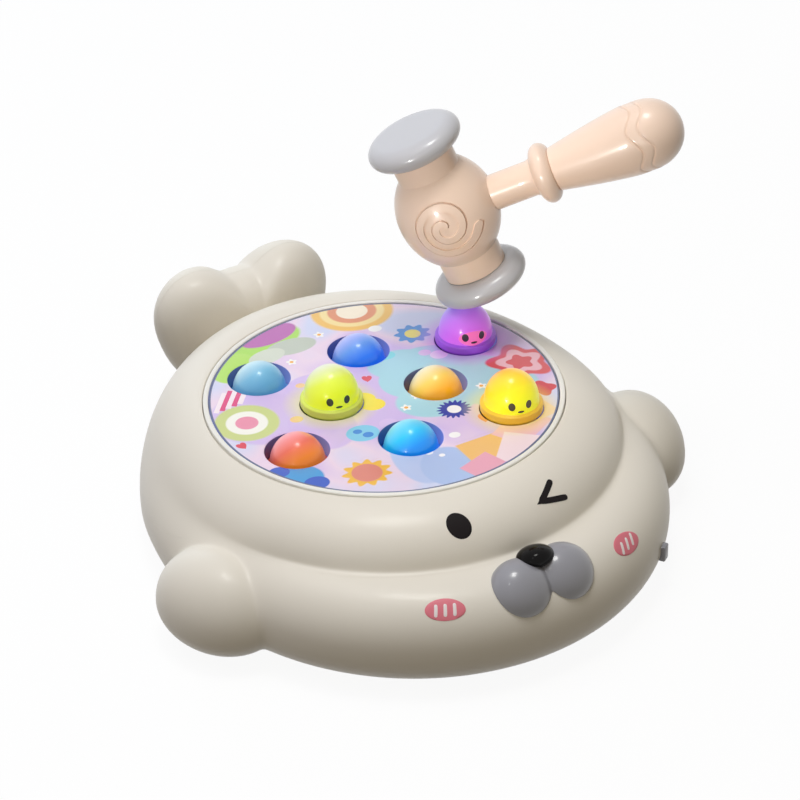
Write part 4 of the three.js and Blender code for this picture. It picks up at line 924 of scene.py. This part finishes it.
head = turned("head", head_outline(0, neck_end), 96)
joined(head, turned("hollow", head_outline(head_wall, neck_end + 0.002), 64), "DIFFERENCE")
socket = rod(0.009, 0, 0.05)
socket.data.transform(Matrix.Rotation(pi / 2, 4, "Y"))
joined(head, socket, "DIFFERENCE")
head_front, head_back = halved(head, "hammer", 0)
spiral_x, spiral_z, spiral_reach, spiral_half, spiral_start = 0.0006, 0.0029, 0.016, 0.0018, radians(-16.3)


def spiral_band(name, wider, lift):
    """The raised spiral, or with wider the groove that it stands in, which shows along its outer edge."""
    rings = []
    for share in np.linspace(0, 1, 170):
        swept = radians(708) * share
        angle = spiral_start - swept
        radius = spiral_reach * (1 - swept / radians(743))
        wide = (spiral_half + 0.0004 * max(0, 1 - 5 * share)) * min(1, 0.25 + 3.5 * (1 - share))
        run = min(radius * swept / wide, 1)
        wide *= sqrt(max(1 - (1 - run) ** 2, 0.001))
        outwards = np.array([cos(angle), sin(angle)])
        middle = np.array([spiral_x, spiral_z]) + (radius + wider) * outwards
        ring = []
        for turn in np.linspace(0, 2 * pi, 17):
            x, z = middle + outwards * wide * cos(turn)
            slope = 2.6 if wider or sin(turn) > 0 else 2
            rise = lift * min(1, max(-1 if wider else -2, slope * sin(turn)))
            ring.append((x, -sqrt(head_radius ** 2 * (1 - (z / head_high) ** 2) - x * x) - rise, z))
        rings.append(ring)
    rings = [[np.mean(rings[0][:-1], 0)] * 17] + rings + [[np.mean(rings[-1][:-1], 0)] * 17]
    return skin_piece(name, rings)


joined(head_front, spiral_band("spiral_groove", 0.0006, 0.0009), "DIFFERENCE")
joined(head_front, spiral_band("spiral", 0, 0.0008), "UNION")

caps = []
outline = [(0, -cap_thick / 2 - bore_deep), (cap_bore, -cap_thick / 2 - bore_deep), (cap_bore, -cap_thick / 2)]
for bend in np.linspace(-pi / 2, pi / 2, 25):
    outline.append((cap_radius - cap_round + cap_round * cos(bend), cap_thick / 2 * sin(bend)))
outline.append((0, cap_thick / 2))
for name, way in (("hammer_cap_high", 1), ("hammer_cap_low", -1)):
    cap = turned(name, outline)
    if way < 0:
        cap.data.transform(Matrix.Rotation(pi, 4, "X"))
    cap.data.transform(Matrix.Translation((0, 0, way * cap_mid)))
    caps.append(cap)


def grip_out(share):
    """The grip's outline as a share of its largest radius, swelling from the collar to a round tip."""
    swell = 1 - 0.37 * np.maximum(0, 1 - share / 0.6) ** 1.25
    return swell * np.sqrt(1 - np.clip((share - 0.7) / 0.3, 0, 1) ** 2.2)


grip_start, grip_end, grip_radius, shaft_radius = 0.0561, 0.121, 0.0171, 0.0088
collar_mid, collar_half, collar_lift = 0.0511, 0.005, 0.0062
wave_deep, wave_wide, wave_swing = 0.0007, 0.00045, 0.0021
along = [0.014, 0.014] + list(np.linspace(0.02, 0.044, 5))
out = [0] + [shaft_radius] * 6
for turn in np.linspace(8, 172, 21):
    along.append(collar_mid - collar_half * cos(radians(turn)))
    out.append(shaft_radius + collar_lift * sin(radians(turn)))
shares = np.concatenate([np.linspace(0, 0.7, 130), 0.7 + 0.3 * np.sin(np.linspace(0, pi / 2, 60)[1:])])
along += list(grip_start + (grip_end - grip_start) * shares)
out += list(grip_radius * grip_out(shares))
rounds = np.linspace(0, 2 * pi, 201)
rows = []
for x, radius in zip(along, out):
    deep = rounds * 0
    for place in (0.0981, 0.1039):
        wave = place + wave_swing * np.cos(5 * (rounds - radians(108)))
        deep += wave_deep * np.exp(-((x - wave) / wave_wide) ** 2)
    r = np.maximum(radius - deep * (x > grip_start), 0)
    rows.append(np.stack([r * 0 + x, r * np.cos(rounds), r * np.sin(rounds)], -1))
handle = skin_piece("hammer_grip", rows)

peach = plastic("peach_satin", tint(241, 214, 193), 0.32, coat=0.4, mottle=0.03, grain=0.04)[0]
rubber = plastic("cap_rubber", tint(190, 190, 194), 0.28, coat=0.4, mottle=0.02, grain=0)[0]
for piece, node, finish, slot in (
        (head_front, "hammer_head_front", peach, "hammer_peach"),
        (head_back, "hammer_head_back", peach, "hammer_peach"),
        (handle, "hammer_handle", peach, "hammer_peach"),
        (caps[0], "hammer_cap_top", rubber, "cap_grey"),
        (caps[1], "hammer_cap_bottom", rubber, "cap_grey")):
    piece.data.transform(hammer_place)
    smooth(piece)
    dress(piece, finish, "hammer", node)

# Power switch
# A small knob of grey plastic with bevelled edges, which stands a little out of the cheek on the picture's right
# and slides along it.
knob_half, knob_in, knob_low, knob_high = 0.0025, 0.0085, 0.015, 0.0234
knob = block(-knob_half, knob_half, -switch_skin - knob_out, -switch_skin + knob_in, knob_low, knob_high)
bpy.ops.object.mode_set(mode="EDIT")
bpy.ops.mesh.select_all(action="SELECT")
bpy.ops.mesh.bevel(offset=0.0008, segments=3, affect="EDGES")
bpy.ops.object.mode_set(mode="OBJECT")
knob.name = knob.data.name = "power_knob"
knob.data.transform(Matrix.Rotation(switch_turn, 4, "Z"))
smooth(knob)
knob_plastic = plastic("knob_grey", tint(142, 143, 151), 0.35, coat=0.3)[0]
dress(knob, knob_plastic, "power_switch", "switch_knob")

# Inner works
# The parts that stay as the frame draws them: guide, board, cells, contacts, speaker, switch body, springs, discs,
# magnets, screws and the battery door.
inner = {
    "mole_guide": plastic("guide_dark", tint(44, 48, 70), 0.5)[0],
    "circuit_board": plastic("board_green", tint(31, 106, 61), 0.45)[0],
    "speaker": plastic("speaker_dark", tint(43, 43, 46), 0.6)[0],
    "switch_body": plastic("switch_dark", tint(43, 43, 46), 0.5)[0],
    "battery_door": cream,
}
steel = plastic("bare_steel", tint(185, 188, 194), 0.32, Metallic=0.9)[0]
wire = plastic("spring_wire", tint(170, 173, 180), 0.28, Metallic=1.0)[0]
copper = plastic("copper_winding", tint(181, 98, 46), 0.45, Metallic=0.6)[0]
zinc = plastic("zinc_screw", tint(158, 161, 166), 0.35, Metallic=0.9)[0]
sleeve = plastic("cell_sleeve", tint(44, 111, 176), 0.35, Metallic=0.3)[0]
nickel = plastic("nickel_strip", tint(196, 198, 202), 0.3, Metallic=0.9)[0]
for i in range(1, 9):
    inner[f"mole_armature_{i}"], inner[f"mole_spring_{i}"], inner[f"hold_magnet_{i}"] = steel, wire, copper
for i in range(1, 4):
    inner[f"case_screw_{i}"], inner[f"battery_cell_{i}"] = zinc, sleeve
inner["battery_door_screw"] = zinc
inner["battery_contact_left"] = inner["battery_contact_right"] = nickel
for name, finish in inner.items():
    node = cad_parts[name]
    node.data.materials.clear()
    node.data.materials.append(finish)
